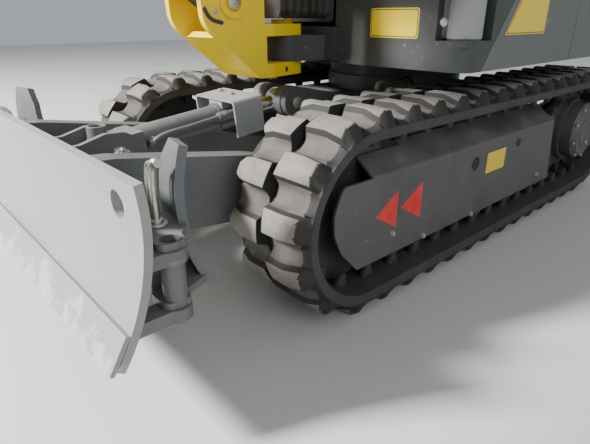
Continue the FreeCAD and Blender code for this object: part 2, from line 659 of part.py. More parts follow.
def blade_frame():
    """Pieces welded behind the blade: two pivoting arms, the cylinder's ears on their cross plate, a rail and
    the brackets of the wings."""
    back_x = BLADE_FACE[2][0]
    front = ahead_of_blade()
    rail = cut(box(RAIL_X, back_x, -RAIL_HALF, RAIL_HALF, RAIL_Z0, RAIL_Z1), front)
    room = box(RAIL_X - SEAT, back_x + 1, -RAIL_HALF, RAIL_HALF, RAIL_Z0 - 20, RAIL_Z1 + SEAT)
    solids = [rail]
    ears = []
    for side in (-1, 1):
        near, far = sorted((side * ARM_IN, side * ARM_OUT))
        arm = plate_y([(BLADE_PIVOT[0] - 40, 232, 30), (BLADE_PIVOT[0] - 40, 160, 30), (BLADE_PIVOT[0] + 40, 152, 20),
                       (1080, 222, 0), (back_x, 222, 0), (back_x, 394, 0), (1100, 386, 10), (800, 338, 200)],
                      near, far)
        solids.append(cut(arm, front, room, cross_pin(*BLADE_PIVOT, ARM_PIN_R + RUNNING, near - 1, far + 1)))
        near, far = sorted((side * (BLADE_EYE_HALF + GAP), side * (BLADE_EYE_HALF + GAP + EAR_THICK)))
        ear = plate_y([(974, 300, 30), (977, 389, 36), (1045, 391, 20), (1099, 376, 0),
                       (back_x, 372, 0), (back_x, 236, 0), (1000, 236, 40)], near, far)
        ears.append(cut(ear, cross_pin(*BLADE_EYE, PIN_R + RUNNING, near - 1, far + 1)))
    plate = plate_y([(1060, 226, 0), (back_x, 226, 0), (back_x, 300, 0), (1060, 290, 0)], SEAT - ARM_IN, ARM_IN - SEAT)
    solids.append(cut(fuse(plate, *ears), front, room))
    lowest = WING_SHELF[0][0] - GAP - WING_BRACKET
    highest = WING_SHELF[1][0] + WING_SHELF[1][1]
    for side in (-1, 1):
        near, far = sorted((side * (WING_Y - 20), side * (WING_Y + 18)))
        hinge = [cylinder((WING_X, side * WING_Y, lowest), (0, 0, 1), WING_PIN_R, highest - lowest)]
        for z0, thick in WING_SHELF:
            level = z0 - GAP - WING_BRACKET
            hinge.append(cut(box(WING_X, back_x, near, far, level, z0 - GAP), front))
            hinge.append(cylinder((WING_X, side * WING_Y, level), (0, 0, 1), WING_PIN_R + 5, WING_BRACKET))
        bore = cylinder((WING_X, side * WING_Y, lowest - 1), (0, 0, 1), WING_PIN_BORE, highest - lowest + 2)
        solids.append(cut(fuse(*hinge), bore))
    return Part.makeCompound([solid for shape in solids for solid in shape.Solids])


def cylinder_barrel(length, radius, eye_half, eye_r, bore_r):
    """Barrel along +x from its eye at the origin, narrow up to its tube and closed by a gland."""
    eye = cross_pin(0, 0, eye_r, -eye_half, eye_half)
    start = eye_r * BARREL_NECK
    neck = box(0, start + 1, -eye_half, eye_half, -eye_r * 0.8, eye_r * 0.8)
    tube = cylinder((start, 0, 0), (1, 0, 0), radius, length - start)
    gland = cylinder((length - 46, 0, 0), (1, 0, 0), radius + 4, 46)
    whole = fuse(eye, neck, tube, gland)
    bore = cylinder((start + 14, 0, 0), (1, 0, 0), bore_r + RUNNING, length)
    pin = cross_pin(0, 0, PIN_R + RUNNING, -eye_half - 1, eye_half + 1)
    return cut(whole, bore, pin)


def cylinder_rod(start, length, radius, eye_half, eye_r, pin_half):
    """Rod along +x from start to the eye at length, with the pin that the eye holds."""
    shaft = cylinder((start, 0, 0), (1, 0, 0), radius, length - start - eye_r * 0.5)
    pin = cross_pin(length, 0, PIN_R, -pin_half, pin_half)
    return fuse(shaft, cross_pin(length, 0, eye_r, -eye_half, eye_half), pin)


def blade_barrel():
    barrel = cylinder_barrel(BLADE_BARREL, BLADE_BARREL_R, BLADE_EYE_HALF, BLADE_EYE_R, BLADE_ROD_R)
    return placed(barrel, BLADE_EYE, heading(BLADE_EYE, FRAME_EYE))


def blade_rod():
    span = math.hypot(BLADE_EYE[0] - FRAME_EYE[0], BLADE_EYE[1] - FRAME_EYE[1])
    rod = cylinder_rod(BLADE_ROD_START, span, BLADE_ROD_R, FRAME_EYE_HALF - 2, BLADE_EYE_R - 2, FRAME_EYE_HALF)
    return placed(rod, BLADE_EYE, heading(BLADE_EYE, FRAME_EYE))


def blade_cover():
    """Folded sheet that bridges the blade cylinder's gland and its hoses."""
    angle = heading(FRAME_EYE, BLADE_EYE)
    outer = plate_x([(-88, -40, 0), (-88, 50, 12), (88, 50, 12), (88, -40, 0)], 126, 212)
    inner = plate_x([(-83, -41, 0), (-83, 45, 7), (83, 45, 7), (83, -41, 0)], 125, 213)
    pad = cut(box(176, 208, -28, 28, 20, 46), cylinder((150, 0, 0), (1, 0, 0), BLADE_BARREL_R + 4 + SEAT, 80))
    return placed(fuse(cut(outer, inner), pad), FRAME_EYE, angle)


def blade_pin():
    return cross_pin(*BLADE_EYE, PIN_R, -BLADE_EYE_HALF - EAR_THICK - 10, BLADE_EYE_HALF + EAR_THICK + 10)


def blade_wing():
    """Folded widening wing behind the blade's left end: bent plate and the two shelves that turn on its hinge."""
    outboard = WING_Y - WING_SETBACK
    inboard = outboard - WING_WIDTH
    plate = bent_plate(WING_FACE, WING_PLATE, inboard, outboard)
    corner = plate_x([(inboard - 1, 322, 0), (inboard + 22, 405, 15), (inboard + 58, 446, 0), (inboard - 1, 446, 0)],
                     1000, 1200)
    plate = cut(plate, corner)
    plate.rotate(V(WING_FACE[2][0] - WING_PLATE, outboard, 0), V(0, 0, 1), -WING_SLANT)
    slope = math.tan(math.radians(WING_SLANT))
    pieces = [plate]
    for z0, thick in WING_SHELF:
        rear = arc_x(WING_FACE, z0 + thick / 2) - 9
        shelf = plate_z([(rear - 80 * slope, outboard - 80, 0), (rear - 6 * slope, outboard - 6, 0), (1104, WING_Y - 7, 10),
                         (1108, WING_Y + 17, 8), (1152, WING_Y + 17, 16), (1152, WING_Y - 30, 20),
                         (1128, outboard - 50, 12), (rear + 20, outboard - 80, 10)], z0, z0 + thick)
        bore = cylinder((WING_X, WING_Y, z0 - 1), (0, 0, 1), WING_PIN_R + RUNNING, thick + 2)
        pieces.append(cut(shelf, bore))
    return fuse(*pieces)


# House


def plan(inset, z0, z1):
    """House's outline seen from above, with its round tail, made solid from z0 to z1."""
    half = BODY_HALF - inset
    radius = TAIL_RADIUS - inset
    rear = -math.sqrt(radius ** 2 - half ** 2)
    front = HOUSE_FRONT - inset
    body = plate_z([(front, -half, 40), (front, half, 40), (rear - 60, half, 0), (rear - 60, -half, 0)], z0, z1)
    tail = cylinder((0, 0, z0), (0, 0, 1), radius, z1 - z0)
    slab = box(-TAIL_RADIUS, rear + 1, -half, half, z0, z1)
    core = box(rear - 61, rear, -half, half, z0, z1)
    return fuse(cut(body, core), tail.common(slab))


def deck():
    plate = plan(SKIN + 2, DECK_Z, DECK_Z + 18)
    ring = cylinder((0, 0, RING_SPLIT + GAP), (0, 0, 1), RING_R - 8, DECK_Z - RING_SPLIT - GAP + 2)
    beams = [box(ENGINE_X1 + 12, HOUSE_FRONT - SKIN - 30, y, y + 16, DECK_Z + 17, FLOOR_Z - 20) for y in (-110, 94)]
    return fuse(plate, ring, *beams)


def swing_bracket():
    """Forged lug that carries the swing post, with its root on the deck's beams."""
    lug = plate_z([(SWING_X + LUG_NOSE, -LUG_NOSE, LUG_NOSE - 1), (SWING_X + LUG_NOSE, LUG_NOSE, LUG_NOSE - 1),
                   (HOUSE_FRONT + 10, 96, 20), (HOUSE_FRONT + 1, 130, 0), (HOUSE_FRONT + 1, -130, 0),
                   (HOUSE_FRONT + 10, -96, 20)], LUG_Z0, LUG_Z1)
    root = fuse(box(HOUSE_FRONT + 0.5, HOUSE_FRONT + 30, -120, 120, LUG_Z0, LUG_Z1 + 20),
                box(HOUSE_FRONT - SKIN - 30 + GAP, HOUSE_FRONT + 1, *MOUTH_Y, DECK_Z + 18 + SEAT, LUG_Z1 + 20))
    bore = cylinder((SWING_X, 0, LUG_Z0 - 1), (0, 0, 1), SWING_PIN_R + RUNNING, LUG_Z1 - LUG_Z0 + 2)
    return cut(fuse(lug, root), bore)


def body_shell():
    """Outer panels of the house from the sill to the floor, before they are split at the seams."""
    return cut(plan(0, SILL_Z, FLOOR_Z), plan(SKIN, SILL_Z - 1, FLOOR_Z + 1))


def seam_cutter():
    low_x, low_z = SEAM_LOW
    high_x, high_z = SEAM_HIGH
    return plate_y([(low_x, low_z - 1, 0), (HOUSE_FRONT + 50, low_z - 1, 0), (HOUSE_FRONT + 50, high_z + 1, 0),
                    (high_x, high_z + 1, 0)], -BODY_HALF - 10, BODY_HALF + 10)


def front_panel():
    shell = body_shell().common(seam_cutter())
    recess = box(POST_X - POST_R - 14, HOUSE_FRONT + 20, POST_Y - POST_R - 6, BODY_HALF + 10, POST_FOOT_Z - 3, FLOOR_Z + 1)
    step = box(POST_X - POST_R - 14, HOUSE_FRONT - 2, POST_Y - POST_R - 6, BODY_HALF - 4, POST_FOOT_Z - 15, POST_FOOT_Z - 3)
    back = box(POST_X - POST_R - 24, POST_X - POST_R - 14, POST_Y - POST_R - 6, BODY_HALF - 1, POST_FOOT_Z - 15, FLOOR_Z)
    side = box(POST_X - POST_R - 24, HOUSE_FRONT - 2, POST_Y - POST_R - 18, POST_Y - POST_R - 6, POST_FOOT_Z - 15, FLOOR_Z)
    mouth = box(HOUSE_FRONT - SKIN - 1, HOUSE_FRONT + 1, MOUTH_Y[0] - 4, MOUTH_Y[1] + 4, SILL_Z + 6, FLOOR_Z + 1)
    return fuse(cut(shell, recess, mouth), step, back, side)


def side_covers():
    rest = cut(body_shell(), seam_cutter())
    middle = box(REAR_SEAM_X + 1.5, HOUSE_FRONT, -BODY_HALF - 10, BODY_HALF + 10, SILL_Z - 1, FLOOR_Z + 1)
    gap = seam_cutter()
    gap.translate(V(-3, 0, 0))
    return cut(rest.common(middle), gap)


def counterweight():
    block = cut(plan(0, SILL_Z, WEIGHT_TOP), box(REAR_SEAM_X - 1.5, 1000, -900, 900, 0, 2000))
    front = box(TAIL_X + 36, 0, -BODY_HALF + SKIN, BODY_HALF - SKIN, SILL_Z - 1, WEIGHT_TOP + 1)
    bay = box(ENGINE_X0 - 20, 0, -ENGINE_HALF - 30, ENGINE_HALF + 30, SILL_Z - 1, WEIGHT_TOP + 1)
    pin = cylinder((*HOOD_AXIS, WEIGHT_TOP - 1), (0, 0, 1), HOOD_PIN_R, HOOD_LIFT + 40)
    low = fuse(cut(block, front, bay, plan(SKIN + 2 - SEAT, DECK_Z - 1, DECK_Z + 18 + SEAT)), pin)
    return cut(low, box(-400, 1000, -1000, 1000, FLOOR_Z, 2000))


def floor_plate():
    plate = cut(plan(2, FLOOR_Z + 0.3, FLOOR_Z + 12), box(-1000, -398, -900, 900, 0, 2000))
    return cut(plate, box(POST_X - POST_R - 14, 1000, POST_Y - POST_R - 6, 900, 0, 2000))


def right_housing():
    """Tank and valve housing on the machine's right, with a sloping nose."""
    rows = [(HOUSE_FRONT - 30, FLOOR_Z + 12.3, 0), (HOUSE_FRONT - 30, 760, 40), (250, 985, 60), (-160, 1040, 80),
            (-396, 1040, 20), (-396, FLOOR_Z + 12.3, 0)]
    return plate_y(rows, -BODY_HALF + 3, CAB_RIGHT - 6)


def engine_block():
    return box(ENGINE_X0, ENGINE_X1, -ENGINE_HALF, ENGINE_HALF, DECK_Z + 18 + SEAT, ENGINE_TOP)


def engine_hood():
    """Rear door over the engine: a round shell with a top, hinged at its right end."""
    low = WEIGHT_TOP + HOOD_LIFT
    outer = cylinder((0, 0, low), (0, 0, 1), TAIL_RADIUS - 6, HOOD_TOP - low)
    inner = cylinder((0, 0, low - 1), (0, 0, 1), TAIL_RADIUS - 6 - HOOD_WALL, HOOD_TOP - HOOD_WALL - low + 1)
    keep = box(-1000, -480, -HOOD_HALF, HOOD_HALF, 0, 3000)
    knuckle = cylinder((*HOOD_AXIS, low), (0, 0, 1), HOOD_PIN_R + 7, HOOD_TOP - low)
    bore = cylinder((*HOOD_AXIS, low - 1), (0, 0, 1), HOOD_PIN_R + RUNNING, 60)
    return cut(fuse(cut(outer, inner).common(keep), knuckle), bore)


def cab_profile(inset, y0, y1):
    rows = [(CAB_FRONT - inset, CAB_FLOOR + inset, 20), (CAB_FRONT - inset, CAB_WAIST, 260), (CAB_FRONT - 40 - inset, DOOR_HEAD, 60),
            (330 - inset, ROOF_TOP - inset, 60), (CAB_REAR + inset, ROOF_TOP - 12 - inset, 70),
            (CAB_REAR + inset, CAB_FLOOR + inset, 20)]
    return plate_y(rows, y0, y1)


def cab_frame():
    shell = cut(cab_profile(0, CAB_RIGHT, CAB_LEFT), cab_profile(CAB_WALL, CAB_RIGHT + CAB_WALL, CAB_LEFT - CAB_WALL))
    door = plate_y([(DOOR_REAR, DOOR_SILL, 40), (DOOR_REAR, DOOR_HEAD, 60), (DOOR_FRONT - 20, DOOR_HEAD, 80),
                    (DOOR_FRONT, CAB_WAIST, 400), (DOOR_FRONT, DOOR_SILL, 40)], CAB_LEFT - CAB_WALL - 1, CAB_LEFT + 1)
    right = plate_y([(-270, SIDE_SILL, 50), (-270, SIDE_HEAD, 60), (300, SIDE_HEAD, 80), (340, CAB_WAIST, 400), (340, 1000, 60),
                     (150, SIDE_SILL, 90)], CAB_RIGHT - 1, CAB_RIGHT + CAB_WALL + 1)
    left_rear = plate_y([(-286, 1200, 30), (-286, 2180, 40), (DOOR_REAR - 44, 2180, 30), (DOOR_REAR - 44, 1200, 30)],
                        CAB_LEFT - CAB_WALL - 1, CAB_LEFT + 1)
    low, high = CAB_RIGHT + 70, CAB_LEFT - 70
    front = plate_x([(low, 860, 50), (high, 860, 50), (high, 2150, 60), (low, 2150, 60)], 250, 500)
    rear = plate_x([(low, 1230, 50), (high, 1230, 50), (high, 2150, 50), (low, 2150, 50)], CAB_REAR - 5, CAB_REAR + 40)
    hatch = plate_z([(-220, low + 20, 50), (230, low + 20, 50), (230, high - 20, 50), (-220, high - 20, 50)],
                    ROOF_TOP - 100, ROOF_TOP + 10)
    hinges = []
    for z in DOOR_HINGE_Z:
        hinges.append(cylinder((DOOR_AXIS[0], DOOR_AXIS[1], z - 20), (0, 0, 1), 5, HINGE_HEIGHT + 40))
        for low_z in (z - 20, z + HINGE_HEIGHT + GAP):
            hinges.append(cylinder((DOOR_AXIS[0], DOOR_AXIS[1], low_z), (0, 0, 1), HINGE_R, 20 - GAP))
            hinges.append(box(DOOR_AXIS[0] - 50, DOOR_AXIS[0], CAB_LEFT - 1, CAB_LEFT + 6, low_z, low_z + 20 - GAP))
    pockets = []
    for z in DOOR_HINGE_Z:
        low_z, high_z = z - GAP, z + HINGE_HEIGHT + GAP
        pockets.append(cylinder((DOOR_AXIS[0], DOOR_AXIS[1], low_z), (0, 0, 1), HINGE_R + 1.5, high_z - low_z))
        pockets.append(box(DOOR_AXIS[0], DOOR_REAR + 1, CAB_LEFT - 3, CAB_LEFT + 1, low_z, high_z))
    frame = cut(shell, door, right, left_rear, front, rear, hatch, *pockets)
    post = cylinder((POST_X, POST_Y, POST_FOOT_Z - 3), (0, 0, 1), POST_R, DOOR_SILL - 8 - POST_FOOT_Z)
    pillar = cylinder((PILLAR_X, POST_Y, CAB_FLOOR), (0, 0, 1), PILLAR_R, CAB_WAIST - CAB_FLOOR)
    return fuse(frame, post, pillar, *hinges)


def cab_glass():
    """Fixed panes, each one seated in its window."""
    low, high = CAB_RIGHT + 70, CAB_LEFT - 70
    right = plate_y([(-270, SIDE_SILL, 50), (-270, SIDE_HEAD, 60), (300, SIDE_HEAD, 80), (340, CAB_WAIST, 400), (340, 1000, 60),
                     (150, SIDE_SILL, 90)], CAB_RIGHT + 12, CAB_RIGHT + 12 + GLASS)
    left_rear = plate_y([(-286, 1200, 30), (-286, 2180, 40), (DOOR_REAR - 44, 2180, 30), (DOOR_REAR - 44, 1200, 30)],
                        CAB_LEFT - 17, CAB_LEFT - 17 + GLASS)
    band = cut(cab_profile(12, low, high), cab_profile(12 + GLASS, low - 1, high + 1))
    window = plate_x([(low, 860, 50), (high, 860, 50), (high, 2150, 60), (low, 2150, 60)], 250, 500)
    front = band.common(window)
    rear = plate_x([(low, 1230, 50), (high, 1230, 50), (high, 2150, 50), (low, 2150, 50)], CAB_REAR + 12, CAB_REAR + 12 + GLASS)
    hatch = plate_z([(-220, low + 20, 50), (230, low + 20, 50), (230, high - 20, 50), (-220, high - 20, 50)],
                    ROOF_TOP - 24, ROOF_TOP - 24 + GLASS)
    solids = [right, left_rear, front, rear, hatch]
    return Part.makeCompound([piece for shape in solids for piece in shape.Solids])


def door_rows(inset):
    return [(DOOR_REAR + inset, DOOR_SILL + inset, 40), (DOOR_REAR + inset, DOOR_HEAD - inset, 60),
            (DOOR_FRONT - 20 - inset, DOOR_HEAD - inset, 80), (DOOR_FRONT - inset, CAB_WAIST, 400),
            (DOOR_FRONT - inset, DOOR_SILL + inset, 40)]


def door_window(inset):
    return [(DOOR_REAR + 60 + inset, 1120 + inset, 40), (DOOR_REAR + 60 + inset, DOOR_HEAD - 60 - inset, 50),
            (DOOR_FRONT - 70 - inset, DOOR_HEAD - 60 - inset, 60), (DOOR_FRONT - 60 - inset, CAB_WAIST, 300),
            (DOOR_FRONT - 60 - inset, 1000 + inset, 40), (60, 1120 + inset, 60)]


def cab_door():
    leaf = plate_y(door_rows(6), CAB_LEFT - DOOR_THICK, CAB_LEFT)
    leaf = cut(leaf, plate_y(door_window(0), CAB_LEFT - DOOR_THICK - 1, CAB_LEFT + 1))
    x, y = DOOR_AXIS
    hinges = []
    for z in DOOR_HINGE_Z:
        knuckle = cylinder((x, y, z), (0, 0, 1), HINGE_R, HINGE_HEIGHT)
        strap_plate = box(x, x + 70, CAB_LEFT - 1, CAB_LEFT + 6, z, z + HINGE_HEIGHT)
        hinges.append(cut(fuse(knuckle, strap_plate), cylinder((x, y, z - 1), (0, 0, 1), 5 + RUNNING, HINGE_HEIGHT + 2)))
    return fuse(leaf, *hinges)


def door_glass():
    return plate_y(door_window(0), CAB_LEFT - 16, CAB_LEFT - 16 + GLASS)


def seat():
    cushion = plate_y([(-190, 1000, 20), (250, 1000, 30), (260, 1090, 40), (-190, 1070, 20)], CAB_MID - 210, CAB_MID + 210)
    base = box(-170, 150, CAB_MID - 170, CAB_MID + 170, CAB_FLOOR + CAB_WALL + SEAT, 1001)
    back = plate_y([(-168, 1071 + SEAT, 0), (-90, 1074.4 + SEAT, 0), (-200, 1560, 40), (-290, 1560, 40)], CAB_MID - 200, CAB_MID + 200)
    return Part.makeCompound([fuse(base, cushion), back])


def consoles():
    solids = []
    for y0, y1 in ((CAB_MID - 319, CAB_MID - 219), (CAB_MID + 219, CAB_MID + 311)):
        pod = plate_y([(-150, CAB_FLOOR + CAB_WALL + SEAT, 0), (60, CAB_FLOOR + CAB_WALL + SEAT, 0), (170, 1180, 40),
                       (160, 1260, 30), (-150, 1230, 30)], y0, y1)
        stick = cylinder((130, (y0 + y1) / 2, 1240), (0.15, 0, 1), 14, 150)
        solids.append(fuse(pod, stick))
    for y in (CAB_MID - 40, CAB_MID + 40):
        solids.append(fuse(cylinder((235, y, CAB_FLOOR + CAB_WALL + 4 * SEAT), (0.1, 0, 1), 9, 560),
                           cylinder((235 + 54, y, 1270), (0.1, 0, 1), 15, 90)))
    return Part.makeCompound(solids)


# Swing post


def swing_post():
    """Two side plates with a front web, ears above and below the lug, and the pin through them."""
    rows = [(627, 474, 0), (648, 478, 10), (800, 600, 60), (805, 690, 60), (715, 880, 60), (620, 900, 50),
            (572, 840, 40), (627, 740, 40)]
    plates = [plate_y(rows, POST_HALF - POST_PLATE, POST_HALF), plate_y(rows, -POST_HALF, POST_PLATE - POST_HALF)]
    web = plate_y([(620, 474, 0), (646, 476, 0), (765, 572, 0), (756, 584, 0), (650, 500, 0), (650, 600, 0),
                   (620, 600, 0)], -POST_HALF + 1, POST_HALF - 1)
    pieces = plates + [web]
    ear_rows = ((474.0, LUG_Z0 - GAP), (LUG_Z1 + GAP, POST_EAR_TOP))
    for z0, z1 in ear_rows:
        pieces.append(plate_z([(SWING_X - 42, -46, 40), (SWING_X - 42, 46, 40), (600, POST_HALF, 20),
                               (640, POST_HALF, 0), (640, -POST_HALF, 0), (600, -POST_HALF, 20)], z0, z1))
    pieces.append(cylinder((SWING_X, 0, 474), (0, 0, 1), SWING_PIN_R, POST_EAR_TOP + 10 - 474))
    post = fuse(*pieces)
    foot_pin = cross_pin(*BOOM_FOOT, FOOT_PIN_R, -POST_HALF - 6, POST_HALF + 6)
    base_pin = cross_pin(*CYL_BASE, PIN_R, -POST_HALF - 6, POST_HALF + 6)
    return fuse(post, foot_pin, base_pin)


# Working arm


def boom():
    bend_x, bend_z = BOOM_BEND
    foot, tip = BOOM_DEPTH_FOOT / 2, BOOM_DEPTH_TIP / 2
    deep = BOOM_DEPTH_BEND / 2
    rows = [(-20, -foot + 14, 30), (bend_x + 30, bend_z - deep - 10, 300), (BOOM_LENGTH - 10, -tip, 30),
            (BOOM_LENGTH + 40, 8, 40), (BOOM_LENGTH - 20, tip, 60), (bend_x - 20, bend_z + deep + 20, 260), (-45, foot - 10, 40)]
    beam = plate_y(rows, -BOOM_HALF, BOOM_HALF)
    pieces = [beam, cross_pin(0, 0, foot, -POST_HALF + POST_PLATE + GAP, POST_HALF - POST_PLATE - GAP),
              cross_pin(BOOM_LENGTH, 0, tip, -62, 62)]
    for side in (-1, 1):
        near, far = sorted((side * 28, side * 44))
        pieces.append(strap(((BOOM_EYE[0], BOOM_EYE[1], 38), (BOOM_EYE[0] + 20, BOOM_EYE[1] + 150, 80)), near, far))
        pieces.append(strap(((*BOOM_TOP_EYE, 34), (BOOM_TOP_EYE[0] - 40, BOOM_TOP_EYE[1] - 130, 70)), near, far))
    pieces.append(cross_pin(*BOOM_TOP_EYE, PIN_R, -50, 50))
    whole = fuse(*pieces)
    slot = box(BOOM_LENGTH - BOOM_FORK, BOOM_LENGTH + 200, -ARM_HALF - 2, ARM_HALF + 2, -200, 300)
    foot_bore = cross_pin(0, 0, FOOT_PIN_R + RUNNING, -200, 200)
    tip_pin = cross_pin(BOOM_LENGTH, 0, PIN_R, -64, 64)
    whole = fuse(cut(whole, slot, foot_bore), tip_pin)
    gap = box(BOOM_EYE[0] - 60, BOOM_EYE[0] + 60, -28, 28, BOOM_EYE[1] - 60, BOOM_EYE[1] + 48)
    return placed(cut(whole, gap), BOOM_FOOT, BOOM_RAISE)


def arm():
    """Box arm between its two pivots, with the rear lever and the bucket cylinder's ears."""
    lever = ARM_LEVER_TURN + BOOM_RAISE - ARM_ANGLE
    lever_end = polar((0, 0), lever, ARM_LEVER)
    base = ARM_CYL_EYE
    rows = [(-58, -30, 40), (-30, -62, 40), (ARM_LENGTH - 20, -34, 30), (ARM_LENGTH + 34, 0, 30),
            (ARM_LENGTH - 20, 34, 30), (160, 86, 100), (-40, 60, 40)]
    pieces = [plate_y(rows, -ARM_HALF, ARM_HALF)]
    for side in (-1, 1):
        near, far = sorted((side * 24, side * ARM_HALF))
        pieces.append(strap(((*lever_end, 34), (0, 0, 60)), near, far))
        pieces.append(strap(((*base, 32), (base[0] - 16, 26, 58)), near, far))
    pieces.append(strap(((lever_end[0] * 0.42, lever_end[1] * 0.42, 34), (0, 0, 60)), -ARM_HALF, ARM_HALF))
    pieces.append(cross_pin(*base, PIN_R, -ARM_HALF - 6, ARM_HALF + 6))
    whole = fuse(*pieces)
    bores = [cross_pin(0, 0, PIN_R + RUNNING, -100, 100)]
    slot = box(ARM_CYL_EYE[0] - 52, ARM_CYL_EYE[0] + 70, -23, 23, ARM_CYL_EYE[1] - 42, ARM_CYL_EYE[1] + 60)
    whole = cut(whole, *bores, slot)
    pins = [cross_pin(*base, PIN_R, -ARM_HALF - 6, ARM_HALF + 6),
            cross_pin(ARM_LENGTH - ROCKER_BACK, ROCKER_OFF, PIN_R, -ROCKER_IN - ROCKER_THICK - 4, ROCKER_IN + ROCKER_THICK + 4),
            cross_pin(ARM_LENGTH, 0, PIN_R, -BUCKET_EAR_IN - BUCKET_EAR_THICK - 4, BUCKET_EAR_IN + BUCKET_EAR_THICK + 4)]
    return placed(fuse(whole, *pins), ARM_PIVOT, ARM_ANGLE)


def bucket():
    """Trenching bucket lying on its flat bottom: bent shell, side plates, teeth and two pairs of ears."""
    eyes = -BUCKET_HEEL_TURN
    teeth = eyes - BUCKET_TEETH_TURN
    lip = polar((0, 0), teeth, BUCKET_RADIUS - TOOTH_LENGTH)
    lip_x, lip_z = lip
    neck_rear = polar(polar((0, 0), eyes, -15), eyes - 90, BUCKET_NECK)
    neck_front = polar(polar((0, 0), eyes, 225), eyes - 90, BUCKET_NECK)
    low = -BUCKET_DROP
    shell = plate_y([(lip_x, lip_z, 0), (lip_x + 66, low, 40), (92, low, 165), (*neck_front, 60), (*neck_rear, 0)],
                    -BUCKET_HALF, BUCKET_HALF)
    wall = BUCKET_PLATE
    inner_front = polar(polar((0, 0), eyes, 225 - wall), eyes - 90, BUCKET_NECK + wall)
    inner_rear = polar(polar((0, 0), eyes, -200), eyes - 90, BUCKET_NECK + wall)
    hollow = plate_y([(lip_x - 60, lip_z + 40 + wall, 0), (lip_x + 68, low + wall, 34), (92 - wall / 2, low + wall, 155),
                      (*inner_front, 50), (*inner_rear, 0)], -BUCKET_HALF + wall, BUCKET_HALF - wall)
    eye = polar((0, 0), eyes, BUCKET_LEVER)
    ears = []
    for side in (-1, 1):
        near, far = sorted((side * BUCKET_EAR_IN, side * (BUCKET_EAR_IN + BUCKET_EAR_THICK)))
        foot = polar(polar((0, 0), eyes, 20), eyes - 90, BUCKET_NECK + 6)
        ears.append(strap(((0, 0, 38), (*foot, 46)), near, far))
        foot = polar(polar((0, 0), eyes, BUCKET_LEVER - 8), eyes - 90, BUCKET_NECK + 6)
        ears.append(strap(((*eye, 32), (*foot, 42)), near, far))
        ears.append(strap(((*foot, 20), (*polar(foot, eyes, -80), 20)), near, far))
        pin_near, pin_far = sorted((side * BUCKET_EAR_IN, side * (BUCKET_EAR_IN + BUCKET_EAR_THICK + 4)))
        ears.append(cross_pin(*eye, PIN_R, pin_near, pin_far))
    bore = cross_pin(0, 0, PIN_R + RUNNING, -100, 100)
    tip = polar((0, 0), teeth, BUCKET_RADIUS)
    along = heading(lip, tip)
    rows = [(*polar(tip, along + 90, 4), 0), (*polar(tip, along - 90, 4), 0),
            (*polar(polar(lip, along, -44), along - 90, 13), 0), (*polar(polar(lip, along, -44), along + 90, 13), 0)]
    step = (2 * BUCKET_HALF - 50) / (TOOTH_COUNT - 1)
    teeth_row = [plate_y(rows, -BUCKET_HALF + 3 + i * step, -BUCKET_HALF + 47 + i * step) for i in range(TOOTH_COUNT)]
    whole = fuse(cut(fuse(shell, *ears), hollow, bore), *teeth_row)
    return placed(whole, BUCKET_PIVOT, ARM_ANGLE + BUCKET_LEVER_TURN - 360 - eyes)


def bucket_rocker():
    """Two plates on the arm's sides that the bucket's cylinder pushes."""
    plates = []
    for side in (-1, 1):
        near, far = sorted((side * ROCKER_IN, side * (ROCKER_IN + ROCKER_THICK)))
        plate = strap(((*ROCKER_PIVOT, 30), (*ROCKER_EYE, 30)), near, far)
        plate = cut(plate, cross_pin(*ROCKER_PIVOT, PIN_R + RUNNING, near - 1, far + 1))
        head_near, head_far = sorted((side * ROCKER_IN, side * (ROCKER_IN + ROCKER_THICK + 4)))
        plates.append(fuse(plate, cross_pin(*ROCKER_EYE, PIN_R, head_near, head_far)))
    return Part.makeCompound(plates)


def bucket_link():
    """Two link plates inside the rocker, joined by the tube at the bucket's eye."""
    pieces = [cross_pin(*BUCKET_EYE, LINK_TUBE_R, GAP - BUCKET_EAR_IN, BUCKET_EAR_IN - GAP)]
    for side in (-1, 1):
        near, far = sorted((side * LINK_IN, side * (LINK_IN + LINK_THICK)))
        pieces.append(strap(((*ROCKER_EYE, 28), (*BUCKET_EYE, 28)), near, far))
    return fuse(*pieces)


# Cylinders of the working arm: name, base, eye, barrel's radius and length, where its rod starts inside it,
# and half the length of the pin in the rod's eye
ARM_CYLINDERS = (
    ("boom", CYL_BASE, BOOM_CYL_EYE, BARREL_R, 432.0, 230.0, 27.0),
    ("arm", ARM_CYL_BASE, ARM_REAR_EYE, BARREL_R - 3, 640.0, 300.0, 23.0),
    ("bucket", BUCKET_CYL_BASE, ROCKER_EYE, BARREL_R - 4, 420.0, 210.0, LINK_IN - 1),
)


def lift_barrel(base, eye, radius, length):
    return placed(cylinder_barrel(length, radius, 22, EYE_R + 2, ROD_R), base, heading(base, eye))


def lift_rod(base, eye, start, pin_half):
    span = math.hypot(eye[0] - base[0], eye[1] - base[1])
    return placed(cylinder_rod(start, span, ROD_R, 21, EYE_R - 2, pin_half), base, heading(base, eye))


